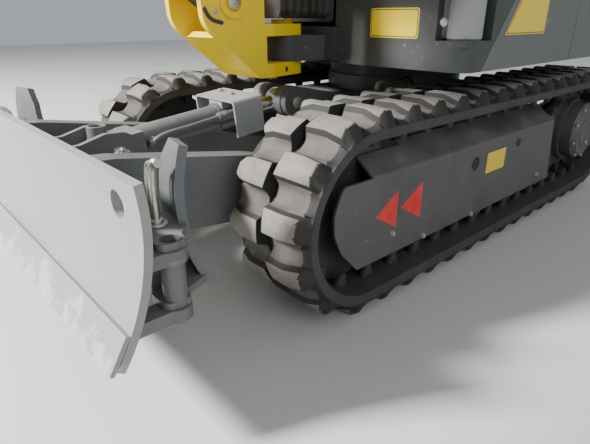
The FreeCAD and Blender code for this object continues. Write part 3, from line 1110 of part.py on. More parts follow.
NODES = {
    "centre_frame": centre_frame(),
    "blade_plate": blade_plate(),
    "blade_edge": blade_edge(),
    "blade_frame": blade_frame(),
    "blade_pin": blade_pin(),
    "blade_barrel": blade_barrel(),
    "blade_rod": blade_rod(),
    "blade_cover": blade_cover(),
    "deck": deck(),
    "swing_bracket": swing_bracket(),
    "front_panel": front_panel(),
    "side_covers": side_covers(),
    "counterweight": counterweight(),
    "floor_plate": floor_plate(),
    "right_housing": right_housing(),
    "engine_block": engine_block(),
    "engine_hood": engine_hood(),
    "cab_frame": cab_frame(),
    "cab_glass": cab_glass(),
    "cab_door": cab_door(),
    "door_glass": door_glass(),
    "seat": seat(),
    "consoles": consoles(),
    "swing_post": swing_post(),
    "boom": boom(),
    "arm": arm(),
    "bucket": bucket(),
    "bucket_rocker": bucket_rocker(),
    "bucket_link": bucket_link(),
}
for name, make in (("track_frame", track_frame), ("track_guard", track_guard), ("idler", idler),
                   ("rollers", rollers), ("sprocket", sprocket), ("travel_motor", travel_motor),
                   ("track", track), ("blade_wing", blade_wing)):
    left = make()
    NODES[name + "_left"] = left
    NODES[name + "_right"] = mirrored(left)
for name, base, eye, radius, length, start, pin_half in ARM_CYLINDERS:
    NODES[name + "_barrel"] = lift_barrel(base, eye, radius, length)
    NODES[name + "_rod"] = lift_rod(base, eye, start, pin_half)

boxes = [shape.optimalBoundingBox() for shape in NODES.values()]
CENTRE = (min(b.XMin for b in boxes) + max(b.XMax for b in boxes)) / 2
os.makedirs("parts", exist_ok=True)
for name, shape in NODES.items():
    shape.translate(V(-CENTRE, 0, 0))
    shape.exportStep(os.path.join("parts", name + ".step"))
print("nodes", len(NODES), "centre moved by", round(-CENTRE, 3))
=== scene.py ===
# %% [markdown]
# # Mini excavator on rubber tracks
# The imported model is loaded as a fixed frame: every CAD piece already stands in its
# place, in metres, with x forward, y to the machine's left and z up. This lesson
# gives each piece its finish and adds what is too thin or too small for the solids:
# tread blocks with rounded edges, bolts, hoses, bare plates, a padded seat.

# %% Load the frame
import json
import math
import bmesh
import bpy
from mathutils import Matrix, Vector


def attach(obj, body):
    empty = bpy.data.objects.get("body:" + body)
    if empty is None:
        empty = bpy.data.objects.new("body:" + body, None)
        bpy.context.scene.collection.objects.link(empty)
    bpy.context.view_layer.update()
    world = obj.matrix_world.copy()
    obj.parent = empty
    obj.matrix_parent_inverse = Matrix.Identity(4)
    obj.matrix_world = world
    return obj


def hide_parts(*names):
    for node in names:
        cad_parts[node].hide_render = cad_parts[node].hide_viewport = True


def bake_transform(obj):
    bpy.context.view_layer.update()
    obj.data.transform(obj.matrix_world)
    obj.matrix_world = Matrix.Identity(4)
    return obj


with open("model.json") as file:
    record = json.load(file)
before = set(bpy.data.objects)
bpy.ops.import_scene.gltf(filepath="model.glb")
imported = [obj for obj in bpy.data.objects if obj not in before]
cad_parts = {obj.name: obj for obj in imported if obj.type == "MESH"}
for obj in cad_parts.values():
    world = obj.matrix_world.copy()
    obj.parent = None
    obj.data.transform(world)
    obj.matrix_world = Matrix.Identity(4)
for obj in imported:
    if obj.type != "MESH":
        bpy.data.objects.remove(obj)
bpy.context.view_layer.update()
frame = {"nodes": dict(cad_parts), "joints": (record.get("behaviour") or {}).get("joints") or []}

# %% [markdown]
# ## Helpers for colours and nodes
# Colours are picked on screen as sRGB hex values, while a shader works with linear
# light, so one function turns the first into the second. A second one adds a node,
# sets its inputs and links it, which keeps each material below short enough to read.

# %% Colour and node helpers
def linear(hex_colour, alpha=1.0):
    parts = [int(hex_colour[i:i + 2], 16) / 255 for i in (1, 3, 5)]
    return tuple(c / 12.92 if c <= 0.04045 else ((c + 0.055) / 1.055) ** 2.4 for c in parts) + (alpha,)


def add(tree, kind, inputs=None, **settings):
    """Add a node; an input is a value, or an output socket to link from."""
    made = tree.nodes.new(kind)
    for name, value in settings.items():
        setattr(made, name, value)
    for key, value in (inputs or {}).items():
        if isinstance(value, bpy.types.NodeSocket):
            tree.links.new(value, made.inputs[key])
        else:
            made.inputs[key].default_value = value
    return made


def start_material(name, **surface):
    material = bpy.data.materials.new(name)
    material.use_nodes = True
    tree = material.node_tree
    shader = tree.nodes["Principled BSDF"]
    for key, value in surface.items():
        shader.inputs[key.replace("_", " ")].default_value = value
    return material, tree, shader


# %% [markdown]
# ## Painted steel
# The frame, guards, blade and house are pressed or welded steel with a sprayed satin
# enamel. Outdoors it gathers pale dust on every face that looks up, mud splashes dry on
# it near the ground, and fine scratches break its sheen. Three noise patterns carry
# this: a wide one of about 150 mm for the drifts of dust, a stretched one of about
# 12 mm for scratches, and a fine one of 3 mm for the orange-peel skin of the spray.

# %% Painted steel
def painted_steel(name, paint, dust="#a39d92", dusty=0.35, rough=0.38, scale_mm=150.0, worn_below=None):
    material, tree, shader = start_material(name, Roughness=rough)
    where = add(tree, "ShaderNodeTexCoord")
    place = where.outputs["Object"]
    drift = add(tree, "ShaderNodeTexNoise", {"Vector": place, "Scale": 1000 / scale_mm, "Detail": 6.0,
                                             "Roughness": 0.62})
    long_way = add(tree, "ShaderNodeMapping", {"Vector": place, "Scale": (12.0, 80.0, 80.0),
                                               "Rotation": (0.2, 0.4, 0.3)})
    scratch = add(tree, "ShaderNodeTexNoise", {"Vector": long_way.outputs["Vector"], "Scale": 1.0, "Detail": 3.0})
    fine = add(tree, "ShaderNodeTexNoise", {"Vector": place, "Scale": 330.0, "Detail": 2.0})
    upward = add(tree, "ShaderNodeSeparateXYZ", {"Vector": where.outputs["Normal"]})
    height = add(tree, "ShaderNodeSeparateXYZ", {"Vector": place})
    lift = add(tree, "ShaderNodeMapRange", {"Value": upward.outputs["Z"], "From Min": -0.2, "From Max": 1.0,
                                            "To Min": 0.12, "To Max": 1.0})
    splash = add(tree, "ShaderNodeMapRange", {"Value": height.outputs["Z"], "From Min": 0.08, "From Max": 0.5,
                                              "To Min": 0.35, "To Max": 0.0})
    reach = add(tree, "ShaderNodeMath", {0: lift.outputs["Result"], 1: splash.outputs["Result"]}, operation="ADD")
    patch = add(tree, "ShaderNodeMapRange", {"Value": drift.outputs["Fac"], "From Min": 0.38, "From Max": 0.68,
                                             "To Min": 0.15, "To Max": 1.0})
    amount = add(tree, "ShaderNodeMath", {0: reach.outputs["Value"], 1: patch.outputs["Result"]},
                 operation="MULTIPLY")
    share = add(tree, "ShaderNodeMath", {0: amount.outputs["Value"], 1: dusty}, operation="MULTIPLY")
    rubbed = add(tree, "ShaderNodeMapRange", {"Value": scratch.outputs["Fac"], "From Min": 0.66, "From Max": 0.74,
                                              "To Min": 0.0, "To Max": 0.16})
    coat = add(tree, "ShaderNodeMix", {"Factor": rubbed.outputs["Result"], 6: linear(paint), 7: linear("#b9b6b0")},
               data_type="RGBA")
    if worn_below:
        chips = add(tree, "ShaderNodeTexNoise", {"Vector": place, "Scale": 14.0, "Detail": 10.0, "Roughness": 0.75})
        low = add(tree, "ShaderNodeMapRange", {"Value": height.outputs["Z"], "From Min": worn_below - 0.07,
                                               "From Max": worn_below + 0.05, "To Min": 0.16, "To Max": -0.12})
        bare = add(tree, "ShaderNodeMath", {0: chips.outputs["Fac"], 1: low.outputs["Result"]}, operation="ADD")
        edge = add(tree, "ShaderNodeMapRange", {"Value": bare.outputs["Value"], "From Min": 0.56,
                                                "From Max": 0.66, "To Min": 0.0, "To Max": 0.6})
        coat = add(tree, "ShaderNodeMix", {"Factor": edge.outputs["Result"], 6: coat.outputs[2],
                                           7: linear("#d3d1cb")}, data_type="RGBA")
    colour = add(tree, "ShaderNodeMix", {"Factor": share.outputs["Value"], 6: coat.outputs[2], 7: linear(dust)},
                 data_type="RGBA")
    tree.links.new(colour.outputs[2], shader.inputs["Base Color"])
    sheen = add(tree, "ShaderNodeMapRange", {"Value": share.outputs["Value"], "From Min": 0.0, "From Max": 0.4,
                                             "To Min": rough, "To Max": min(1.0, rough + 0.4)})
    tree.links.new(sheen.outputs["Result"], shader.inputs["Roughness"])
    skin = add(tree, "ShaderNodeBump", {"Height": fine.outputs["Fac"], "Strength": 0.08, "Distance": 0.0004})
    tree.links.new(skin.outputs["Normal"], shader.inputs["Normal"])
    return material


silver_enamel = painted_steel("silver_grey_enamel", "#8f9191", dusty=0.30)
blade_enamel = painted_steel("scuffed_blade_enamel", "#8f9191", dusty=0.30, worn_below=0.2)
# The blade's frame, barrel, wings and the pipe, fittings and tube on them get the blade's silver paint darkened to a
# middle grey: painted shade for their place behind the blade.
painted_shade_silver_enamel = painted_steel("silver_enamel_with_painted_shade", "#5a5d60", dusty=0.30)
grey_enamel = painted_steel("warm_grey_enamel", "#4a4b4c", dusty=0.30)
light_enamel = painted_steel("light_grey_enamel", "#5d605f", dusty=0.32)
dark_enamel = painted_steel("dark_grey_enamel", "#35393a", dusty=0.26)
yellow_enamel = painted_steel("yellow_enamel", "#f2cf00", dust="#ddd4a4", dusty=0.22, rough=0.32)
cast_iron = painted_steel("cast_iron_painted_dark", "#333436", dusty=0.30, rough=0.55, scale_mm=90.0)
worn_steel = painted_steel("worn_bucket_steel", "#5f5b56", dust="#8f8678", dusty=0.5, rough=0.5, scale_mm=40.0)
print("painted finishes made")

# %% [markdown]
# ## Rubber
# The tracks are black rubber vulcanised round steel cords. New rubber is nearly
# black, but a running track is grey with ground-in dust, palest on the flat tips of
# the tread blocks and paler in the valleys; the blocks' steep sides, the slopes to the
# belt's edge and the middle groove are kept near black as painted shade. Each face of
# the tread carries its share of dust and painted shade, a noise of about 60 mm breaks
# it up, and a fine grain of 2 mm roughens the surface.

# %% Rubber
def tread_rubber(name, rubber="#131314", dust="#b3aaa0"):
    material, tree, shader = start_material(name, Roughness=0.78)
    where = add(tree, "ShaderNodeTexCoord")
    drift = add(tree, "ShaderNodeTexNoise", {"Vector": where.outputs["Object"], "Scale": 16.0, "Detail": 8.0,
                                             "Roughness": 0.7})
    patch = add(tree, "ShaderNodeMapRange", {"Value": drift.outputs["Fac"], "From Min": 0.3, "From Max": 0.7,
                                             "To Min": 0.55, "To Max": 1.1})
    # The face attribute dust holds dust on tops and valleys, and painted shade: near black on block sides, belt edges
    # and the middle groove.
    dust_and_painted_shade = add(tree, "ShaderNodeAttribute", attribute_name="dust", attribute_type="GEOMETRY")
    share = add(tree, "ShaderNodeMath", {0: patch.outputs["Result"], 1: dust_and_painted_shade.outputs["Fac"]}, operation="MULTIPLY",
                use_clamp=True)
    colour = add(tree, "ShaderNodeMix", {"Factor": share.outputs["Value"], 6: linear(rubber), 7: linear(dust)},
                 data_type="RGBA")
    tree.links.new(colour.outputs[2], shader.inputs["Base Color"])
    grain = add(tree, "ShaderNodeTexNoise", {"Vector": where.outputs["Object"], "Scale": 500.0, "Detail": 3.0})
    skin = add(tree, "ShaderNodeBump", {"Height": grain.outputs["Fac"], "Strength": 0.25, "Distance": 0.001})
    tree.links.new(skin.outputs["Normal"], shader.inputs["Normal"])
    return material


rubber = tread_rubber("track_rubber")

# %% [markdown]
# ## Bare metals
# Cylinder rods are hard-chromed steel, ground round, so their fine rings scatter the
# light a little along the rod. Bolts, pins and pipes are zinc plated, which dries in
# faintly yellow spangles some 8 mm wide and goes dull with dust. Metals keep the default
# IOR; the colour alone makes the one warm and the other cool.

# %% Bare metals
def bare_metal(name, light, dark, rough, grain_mm, dull=0.15):
    material, tree, shader = start_material(name, Metallic=1.0)
    where = add(tree, "ShaderNodeTexCoord")
    grain = add(tree, "ShaderNodeTexNoise", {"Vector": where.outputs["Object"], "Scale": 1000 / grain_mm,
                                             "Detail": 4.0, "Distortion": 0.6})
    colour = add(tree, "ShaderNodeMix", {"Factor": grain.outputs["Fac"], 6: linear(light), 7: linear(dark)},
                 data_type="RGBA")
    tree.links.new(colour.outputs[2], shader.inputs["Base Color"])
    sheen = add(tree, "ShaderNodeMapRange", {"Value": grain.outputs["Fac"], "From Min": 0.3, "From Max": 0.7,
                                             "To Min": rough, "To Max": rough + dull})
    tree.links.new(sheen.outputs["Result"], shader.inputs["Roughness"])
    return material


chrome = bare_metal("hard_chrome", "#e2e3e4", "#c9cbce", 0.08, 3.0, dull=0.08)
zinc_plated = bare_metal("zinc_plated_steel", "#e0ded6", "#b9b4a4", 0.36, 8.0)
print("bare metals made")

# %% [markdown]
# ## Glass
# The cab's panes are tinted safety glass: faintly green, polished, with a veil of dust
# that lies in drifts of about 200 mm. Alpha lets the seat show through and the noise
# makes the veil a little denser here and there.

# %% Safety glass
safety_glass, tree, shader = start_material("tinted_safety_glass", Base_Color=linear("#47524f"), IOR=1.5)
where = add(tree, "ShaderNodeTexCoord")
veil = add(tree, "ShaderNodeTexNoise", {"Vector": where.outputs["Object"], "Scale": 5.0, "Detail": 5.0})
cover = add(tree, "ShaderNodeMapRange", {"Value": veil.outputs["Fac"], "From Min": 0.3, "From Max": 0.75,
                                         "To Min": 0.20, "To Max": 0.32})
tree.links.new(cover.outputs["Result"], shader.inputs["Alpha"])
haze = add(tree, "ShaderNodeMapRange", {"Value": veil.outputs["Fac"], "From Min": 0.3, "From Max": 0.75,
                                        "To Min": 0.02, "To Max": 0.12})
tree.links.new(haze.outputs["Result"], shader.inputs["Roughness"])
print(safety_glass.name)

# %% [markdown]
# ## Moulded plastic, hose rubber and seat vinyl
# Consoles, caps and grips are injection moulded with an etched leather grain of about
# 2 mm. Hoses are smooth black rubber. The seat is covered in vinyl whose pebbled grain
# is about 3 mm. One function serves all three: a Voronoi pattern raises the pebbles and
# a wide noise lays a little dust over them.

# %% Grained plastics
def grained(name, colour, grain_mm, depth, rough, dusty=0.12):
    material, tree, shader = start_material(name)
    where = add(tree, "ShaderNodeTexCoord")
    pebbles = add(tree, "ShaderNodeTexVoronoi", {"Vector": where.outputs["Object"], "Scale": 1000 / grain_mm})
    drift = add(tree, "ShaderNodeTexNoise", {"Vector": where.outputs["Object"], "Scale": 9.0, "Detail": 5.0})
    share = add(tree, "ShaderNodeMapRange", {"Value": drift.outputs["Fac"], "From Min": 0.35, "From Max": 0.75,
                                             "To Min": 0.0, "To Max": dusty})
    mixed = add(tree, "ShaderNodeMix", {"Factor": share.outputs["Result"], 6: linear(colour),
                                        7: linear("#a8a296")}, data_type="RGBA")
    tree.links.new(mixed.outputs[2], shader.inputs["Base Color"])
    sheen = add(tree, "ShaderNodeMapRange", {"Value": share.outputs["Result"], "From Min": 0.0, "From Max": dusty,
                                             "To Min": rough, "To Max": rough + 0.15})
    tree.links.new(sheen.outputs["Result"], shader.inputs["Roughness"])
    skin = add(tree, "ShaderNodeBump", {"Height": pebbles.outputs["Distance"], "Strength": 0.35,
                                        "Distance": depth / 1000})
    tree.links.new(skin.outputs["Normal"], shader.inputs["Normal"])
    return material


moulded_plastic = grained("moulded_black_plastic", "#232426", 2.0, 0.25, 0.5)
hose_rubber = grained("hose_rubber", "#151516", 1.5, 0.1, 0.42, dusty=0.2)
seat_vinyl = grained("seat_vinyl", "#2b2b2e", 3.0, 0.4, 0.46)
print("grained plastics made")

# %% [markdown]
# ## Which piece gets which finish
# A table pairs each finish with the CAD nodes that carry it, and a loop assigns it to
# every material slot of those nodes.

# %% Assign the finishes
FINISHES = {
    blade_enamel: ["blade_plate", "blade_edge"],
    silver_enamel: ["blade_cover"],
    # Painted shade: the blade's paint darkened on the frame, barrel and wings behind it.
    painted_shade_silver_enamel: ["blade_frame", "blade_barrel", "blade_wing_left", "blade_wing_right"],
    grey_enamel: ["centre_frame", "track_frame_left", "track_frame_right", "track_guard_left",
                  "track_guard_right", "travel_motor_left", "travel_motor_right", "bucket_rocker",
                  "bucket_link"],
    light_enamel: ["side_covers", "counterweight", "right_housing", "engine_hood"],
    dark_enamel: ["deck", "floor_plate", "front_panel", "cab_frame", "cab_door"],
    yellow_enamel: ["swing_post", "boom", "arm", "arm_barrel", "bucket_barrel"],
    cast_iron: ["swing_bracket", "engine_block", "idler_left", "idler_right", "rollers_left", "rollers_right",
                "sprocket_left", "sprocket_right", "boom_barrel"],
    worn_steel: ["bucket"],
    zinc_plated: ["blade_pin"],
    rubber: ["track_left", "track_right"],
    chrome: ["blade_rod", "boom_rod", "arm_rod", "bucket_rod"],
    safety_glass: ["cab_glass", "door_glass"],
    moulded_plastic: ["consoles"],
    seat_vinyl: ["seat"],
}
for finish, nodes in FINISHES.items():
    for node in nodes:
        thing = frame["nodes"][node]
        for slot in thing.material_slots:
            slot.material = finish
        if not thing.material_slots:
            thing.data.materials.append(finish)
print("finished nodes", sum(len(n) for n in FINISHES.values()))

# %% [markdown]
# ## A frame of reference for the details
# The solids were drawn in millimetres from the slew axis, forward, left and up. One
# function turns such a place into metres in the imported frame, and another wraps up a
# bmesh as a piece that rides on its body.

# %% Places and pieces
SLEW = next(j for j in frame["joints"] if j["name"] == "slew")["pos_m"]
print("slew axis at x", round(SLEW[0], 4))


def at(x, y, z):
    return Vector((SLEW[0] + x / 1000, y / 1000, z / 1000))


def make_piece(name, shape, finish, body, sharp=32.0):
    """Turn a bmesh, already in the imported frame, into a piece of that body."""
    bmesh.ops.recalc_face_normals(shape, faces=shape.faces[:])
    mesh = bpy.data.meshes.new(name)
    shape.to_mesh(mesh)
    shape.free()
    for face in mesh.polygons:
        face.use_smooth = True
    mesh.set_sharp_from_angle(angle=math.radians(sharp))
    mesh.materials.append(finish)
    piece = bpy.data.objects.new(name, mesh)
    bpy.context.scene.collection.objects.link(piece)
    if body:
        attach(piece, body)
    return piece


# %% [markdown]
# ## Rubber tracks
# A rubber track is one endless moulding: a belt with two staggered rows of tread
# blocks outside, and two rows of guide horns inside. It could be made from one block
# repeated with an array along a curve, but a curve stretches what lies outside it.
# Here a flat grid is laid out first, one strip as long as the track's cords, with the
# blocks raised from it; then the whole strip is wrapped round the two wheels, so every
# block keeps its true size on the cords and opens up on the wheels as rubber does.

# %% The track's loop
WHEEL_FRONT, PITCH, LINKS = 671.0, 96.0, 38
CORD_RADIUS = 12 * PITCH / (2 * math.pi)
WHEEL_BASE = 13 * PITCH
HALF_TURN = math.pi * CORD_RADIUS
BELT_INSIDE = CORD_RADIUS - 13.4
AXLE_HEIGHT = BELT_INSIDE + 55.0
WHEEL_REAR = WHEEL_FRONT - WHEEL_BASE


def wrap(distance, y, height):
    """Place on the loop: distance along the cords, y, and height above the belt's inside."""
    distance %= 2 * (WHEEL_BASE + HALF_TURN)
    radius = BELT_INSIDE + height
    if distance <= WHEEL_BASE:
        return at(WHEEL_REAR + distance, y, AXLE_HEIGHT + radius)
    distance -= WHEEL_BASE
    if distance <= HALF_TURN:
        turn = math.pi / 2 - distance / CORD_RADIUS
        return at(WHEEL_FRONT + radius * math.cos(turn), y, AXLE_HEIGHT + radius * math.sin(turn))
    distance -= HALF_TURN
    if distance <= WHEEL_BASE:
        return at(WHEEL_FRONT - distance, y, AXLE_HEIGHT - radius)
    turn = -math.pi / 2 - (distance - WHEEL_BASE) / CORD_RADIUS
    return at(WHEEL_REAR + radius * math.cos(turn), y, AXLE_HEIGHT + radius * math.sin(turn))


def between(value, rows):
    """Straight lines through rows of (value, result)."""
    if value <= rows[0][0]:
        return rows[0][1]
    for (a, low), (b, high) in zip(rows, rows[1:]):
        if value <= b:
            return low + (high - low) * (value - a) / (b - a)
    return rows[-1][1]


# %% [markdown]
# ### Tread blocks
# Along the track a block is 42 mm long at its top, with a 1.5 mm rolled edge, and runs
# out in a wide fillet, so that mud falls out of the valleys. Across the track it slopes
# to the belt's edge. The outer row of blocks stands 26 mm behind the inner one, and a
# groove parts the two rows down the middle. The tables give the two profiles; the height
# is the one scaled by the other.

# %% Profiles of the tread
BLOCK_ALONG = ((0, 55), (19.5, 55), (21, 54.3), (22, 52.5), (26, 43), (30, 34.5), (34, 30), (40, 27.6), (48, 27))
BLOCK_ACROSS = ((0, 1.0), (97, 1.0), (100, 0.93), (108, 0.42), (112, 0.2), (115, 0.0))
HALF_BELT, STAGGER, SEAM = 115.0, 26.0, 7.0
ALONG = {sign * d for d, _ in BLOCK_ALONG for sign in (-1, 1)}
STEPS = sorted({round((d + shift) % PITCH, 3) for d in ALONG for shift in (0.0, -STAGGER)})
STRIP = [link * PITCH + step for link in range(LINKS) for step in STEPS]
ACROSS = sorted({side * y for y, _ in BLOCK_ACROSS if y for side in (-1, 1)}
                | {60, -60, SEAM + 2, SEAM, SEAM - 3, 3 - SEAM, -SEAM, -SEAM - 2})


def tread_height(distance, across):
    """Height above the belt's inside; positive across is the outer row."""
    away = (distance + (STAGGER if across > 0 else 0.0)) % PITCH
    away = min(away, PITCH - away)
    along = between(away, BLOCK_ALONG)
    side = between(abs(across), BLOCK_ACROSS)
    if away > 12 and along > 40:
        side = min(side, between(abs(across) + (away - 12) * 0.9, BLOCK_ACROSS))
    if abs(across) < SEAM:
        side = 0.0
    return 23 + (along - 23) * side


# %% [markdown]
# ### Guide horns
# Inside the belt two rows of horns run on both sides of the rollers and keep the track
# from walking off them. A horn is 31 mm high, 40 mm long at its foot and 16 mm at its
# tip, with edges rounded by the mould. It is a bevelled frustum, set on the loop with
# a matrix that turns with the belt.

# %% Build a track
SECTION = [(across, None) for across in ACROSS] + [(HALF_BELT, 21), (HALF_BELT, 4), (HALF_BELT - 4, 0), (50, 0), (0, 0),
                                                   (-50, 0), (4 - HALF_BELT, 0), (-HALF_BELT, 4), (-HALF_BELT, 21)]


def dust_and_painted_shade_share(near, far, low, high):
    """Share of dust and painted shade on one cell of the strip: most dust on the tops, some in the valleys, and near
    black painted shade on the steep sides, belt edges and middle groove.
    """
    if low[1] is not None and high[1] is not None:
        return 0.12
    across = (low[0] + high[0]) / 2
    last = far if far > near else LINKS * PITCH
    height = tread_height((near + last) / 2, across)
    # Painted shade: the middle groove, the slopes to the edge and the blocks' steep sides get almost no dust, so they
    # stay near black.
    if abs(across) < 10:
        return 0.02
    if height > 53.5:
        return 0.5
    if abs(across) > 98:
        return 0.05
    return 0.24 if height < 43 else 0.05


def guide_horns(shape, dust, middle):
    for link in range(LINKS):
        for side in (-55, 55):
            distance = (link + 0.5) * PITCH
            foot = wrap(distance, middle + side, 2.0)
            inward = (wrap(distance, middle + side, -20.0) - foot).normalized()
            turn = Matrix((Vector((0, 1, 0)).cross(inward), Vector((0, 1, 0)), inward)).transposed().to_4x4()
            made = bmesh.ops.create_cube(shape, size=1.0, matrix=Matrix.Translation(foot) @ turn
                                         @ Matrix.Translation((0, 0, 0.0165)) @ Matrix.Diagonal((0.04, 0.014, 0.033, 1)))
            tip = [v for v in made["verts"] if (v.co - foot).dot(inward) > 0.02]
            centre = sum((v.co for v in tip), Vector()) / 4
            for v in tip:
                along = turn.to_3x3().col[0]
                v.co -= along * (v.co - centre).dot(along) * 0.6
            edges = {e for v in tip for e in v.link_edges}
            bmesh.ops.bevel(shape, geom=list(edges), offset=0.003, segments=2, affect="EDGES", profile=0.5, material=-1)
    for face in shape.faces:
        if face[dust] == 0.0:
            face[dust] = 0.1


def rubber_track(middle, outward):
    shape = bmesh.new()
    # Face layer dust: dust on tops and valleys, painted shade (near black) on sides, edges and groove.
    dust = shape.faces.layers.float.new("dust")
    bmesh.ops.create_grid(shape, x_segments=len(STRIP), y_segments=len(SECTION), size=0.5)
    columns, rows = len(STRIP), len(SECTION)
    for face in shape.faces:
        spot = face.calc_center_median()
        i = math.floor((spot.x + 0.5) * columns)
        j = math.floor((spot.y + 0.5) * rows)
        face[dust] = dust_and_painted_shade_share(STRIP[i], STRIP[(i + 1) % columns], SECTION[j], SECTION[(j + 1) % rows])
    for vertex in shape.verts:
        i = round((vertex.co.x + 0.5) * columns) % columns
        j = round((vertex.co.y + 0.5) * rows) % rows
        across, height = SECTION[j]
        if height is None:
            height = tread_height(STRIP[i], across)
        vertex.co = wrap(STRIP[i], middle + outward * across, height)
    bmesh.ops.remove_doubles(shape, verts=shape.verts[:], dist=0.00002)
    guide_horns(shape, dust, middle)
    return shape


for side, name in ((1, "track_left"), (-1, "track_right")):
    shape = rubber_track(side * 380.0, side)
    print(name, len(shape.verts), len(shape.faces))
    piece = make_piece("tread_" + name[6:], shape, rubber, "track_side_" + name[6:], 40.0)
    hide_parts(name)


# %% [markdown]
# ## Building blocks for fittings
# Bolts, bosses, plates and hoses come again and again. Each block below is made with
# Blender's own operators and given a rolled edge with a bevel, because no real edge is
# knife sharp and it is the edge that catches the light. Several go into one bmesh, so
# a whole row of bolts is one piece. Lengths are given in millimetres.

# %% Blocks made with operators
def facing(place, axis):
    """Matrix that stands something at a place with its z along the axis."""
    return Matrix.Translation(at(*place)) @ Vector(axis).to_track_quat("Z", "Y").to_matrix().to_4x4()


def roll_edges(shape, faces, size, angle=40.0):
    edges = {e for f in faces for e in f.edges if len(e.link_faces) == 2
             and e.calc_face_angle(0.0) > math.radians(angle)}
    bmesh.ops.bevel(shape, geom=list(edges), offset=size / 1000, segments=2, affect="EDGES", profile=0.5,
                    material=-1)


def add_drum(shape, place, axis, radius, length, roll=1.0, end_radius=None, sides=40):
    """Cylinder or cone from a place along an axis."""
    made = bmesh.ops.create_cone(shape, cap_ends=True, segments=sides, radius1=radius / 1000,
                                 radius2=(radius if end_radius is None else end_radius) / 1000,
                                 depth=length / 1000,
                                 matrix=facing(place, axis) @ Matrix.Translation((0, 0, length / 2000)))
    if roll:
        roll_edges(shape, {f for v in made["verts"] for f in v.link_faces}, roll)


def add_bolt(shape, place, axis, size=12.0):
    """Washer, hexagon head and the turned rim on top of it."""
    axis = Vector(axis).normalized()
    spot = Vector(place)
    add_drum(shape, spot, axis, size, size * 0.2, 0.4, sides=24)
    add_drum(shape, spot + axis * size * 0.2, axis, size * 0.86, size * 0.62, 0.7, sides=6)
    add_drum(shape, spot + axis * size * 0.8, axis, size * 0.66, size * 0.07, 0.0, sides=24)


def add_ring(shape, place, axis, radius, thick, height, sides=40):
    """Collar: a small section spun round the axis."""
    turn = facing(place, axis)
    inner, outer = (radius - thick) / 1000, radius / 1000
    rim = [shape.verts.new((r, 0, z / 1000)) for r, z in
           ((inner, 0), (outer, 0), (outer, height - 0.8), (outer - 0.0008, height), (inner + 0.0008, height),
            (inner, height - 0.8))]
    edges = [shape.edges.new((rim[i], rim[(i + 1) % 6])) for i in range(6)]
    spun = bmesh.ops.spin(shape, geom=rim + edges, cent=(0, 0, 0), axis=(0, 0, 1), angle=2 * math.pi, steps=sides,
                          use_merge=True)
    whole = {v for v in spun["geom_last"] if isinstance(v, bmesh.types.BMVert)} | set(rim)
    done, grow = set(), list(v for v in whole if v.is_valid)
    while grow:
        v = grow.pop()
        if v not in done:
            done.add(v)
            grow += [e.other_vert(v) for e in v.link_edges]
    bmesh.ops.transform(shape, verts=list(done), matrix=turn)


def add_block(shape, low, high, roll=2.0):
    """Block between two corners with rolled edges."""
    low, high = at(*low), at(*high)
    made = bmesh.ops.create_cube(shape, size=1.0, matrix=Matrix.Translation((low + high) / 2)
                                 @ Matrix.Diagonal((*(high - low), 1.0)))
    roll_edges(shape, {f for v in made["verts"] for f in v.link_faces}, roll)


def add_plate(shape, corners, thick, place, axis, up=(0, 0, 1), round_by=0.0, roll=0.0):
    """Flat plate: corners are (right, up) in millimetres for who looks at its face."""
    axis = Vector(axis).normalized()
    right = Vector(up).cross(axis).normalized()
    turn = Matrix((right, axis.cross(right), axis)).transposed().to_4x4()
    part = bmesh.new()
    ring = [part.verts.new((u / 1000, v / 1000, 0)) for u, v in corners]
    part.faces.new(ring)
    if round_by:
        bmesh.ops.bevel(part, geom=ring, offset=round_by / 1000, segments=5, affect="VERTICES", profile=0.5,
                        material=-1)
    pushed = bmesh.ops.extrude_face_region(part, geom=part.faces[:])
    bmesh.ops.translate(part, verts=[v for v in pushed["geom"] if isinstance(v, bmesh.types.BMVert)],
                        vec=(0, 0, thick / 1000))
    if roll:
        roll_edges(part, part.faces, roll)
    bmesh.ops.transform(part, verts=part.verts, matrix=Matrix.Translation(at(*place)) @ turn)
    carried = bpy.data.meshes.new("plate")
    part.to_mesh(carried)
    part.free()
    shape.from_mesh(carried)
    bpy.data.meshes.remove(carried)


def oblong(width, height):
    """Corners of a plate centred on its place."""
    return [(-width / 2, -height / 2), (width / 2, -height / 2), (width / 2, height / 2), (-width / 2, height / 2)]


def make_pipe(name, rows, radius, finish, body, sides=4, closed=False):
    """Pipes or hoses along smooth points in millimetres: a curve with a round section, turned into a mesh."""
    line = bpy.data.curves.new(name, "CURVE")
    line.dimensions = "3D"
    line.bevel_depth = radius / 1000
    line.bevel_resolution = sides
    line.use_fill_caps = True
    line.resolution_u = 8
    for points in rows:
        path = line.splines.new("BEZIER")
        path.bezier_points.add(len(points) - 1)
        path.use_cyclic_u = closed
        for knot, point in zip(path.bezier_points, points):
            knot.co = at(*point)
            knot.handle_left_type = knot.handle_right_type = "VECTOR" if closed else "AUTO"
    drawn = bpy.data.objects.new(name + "_line", line)
    mesh = bpy.data.meshes.new_from_object(drawn)
    bpy.data.objects.remove(drawn)
    mesh.name = name
    mesh.materials.clear()
    mesh.materials.append(finish)
    piece = bpy.data.objects.new(name, mesh)
    bpy.context.scene.collection.objects.link(piece)
    if body:
        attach(piece, body)
    return piece


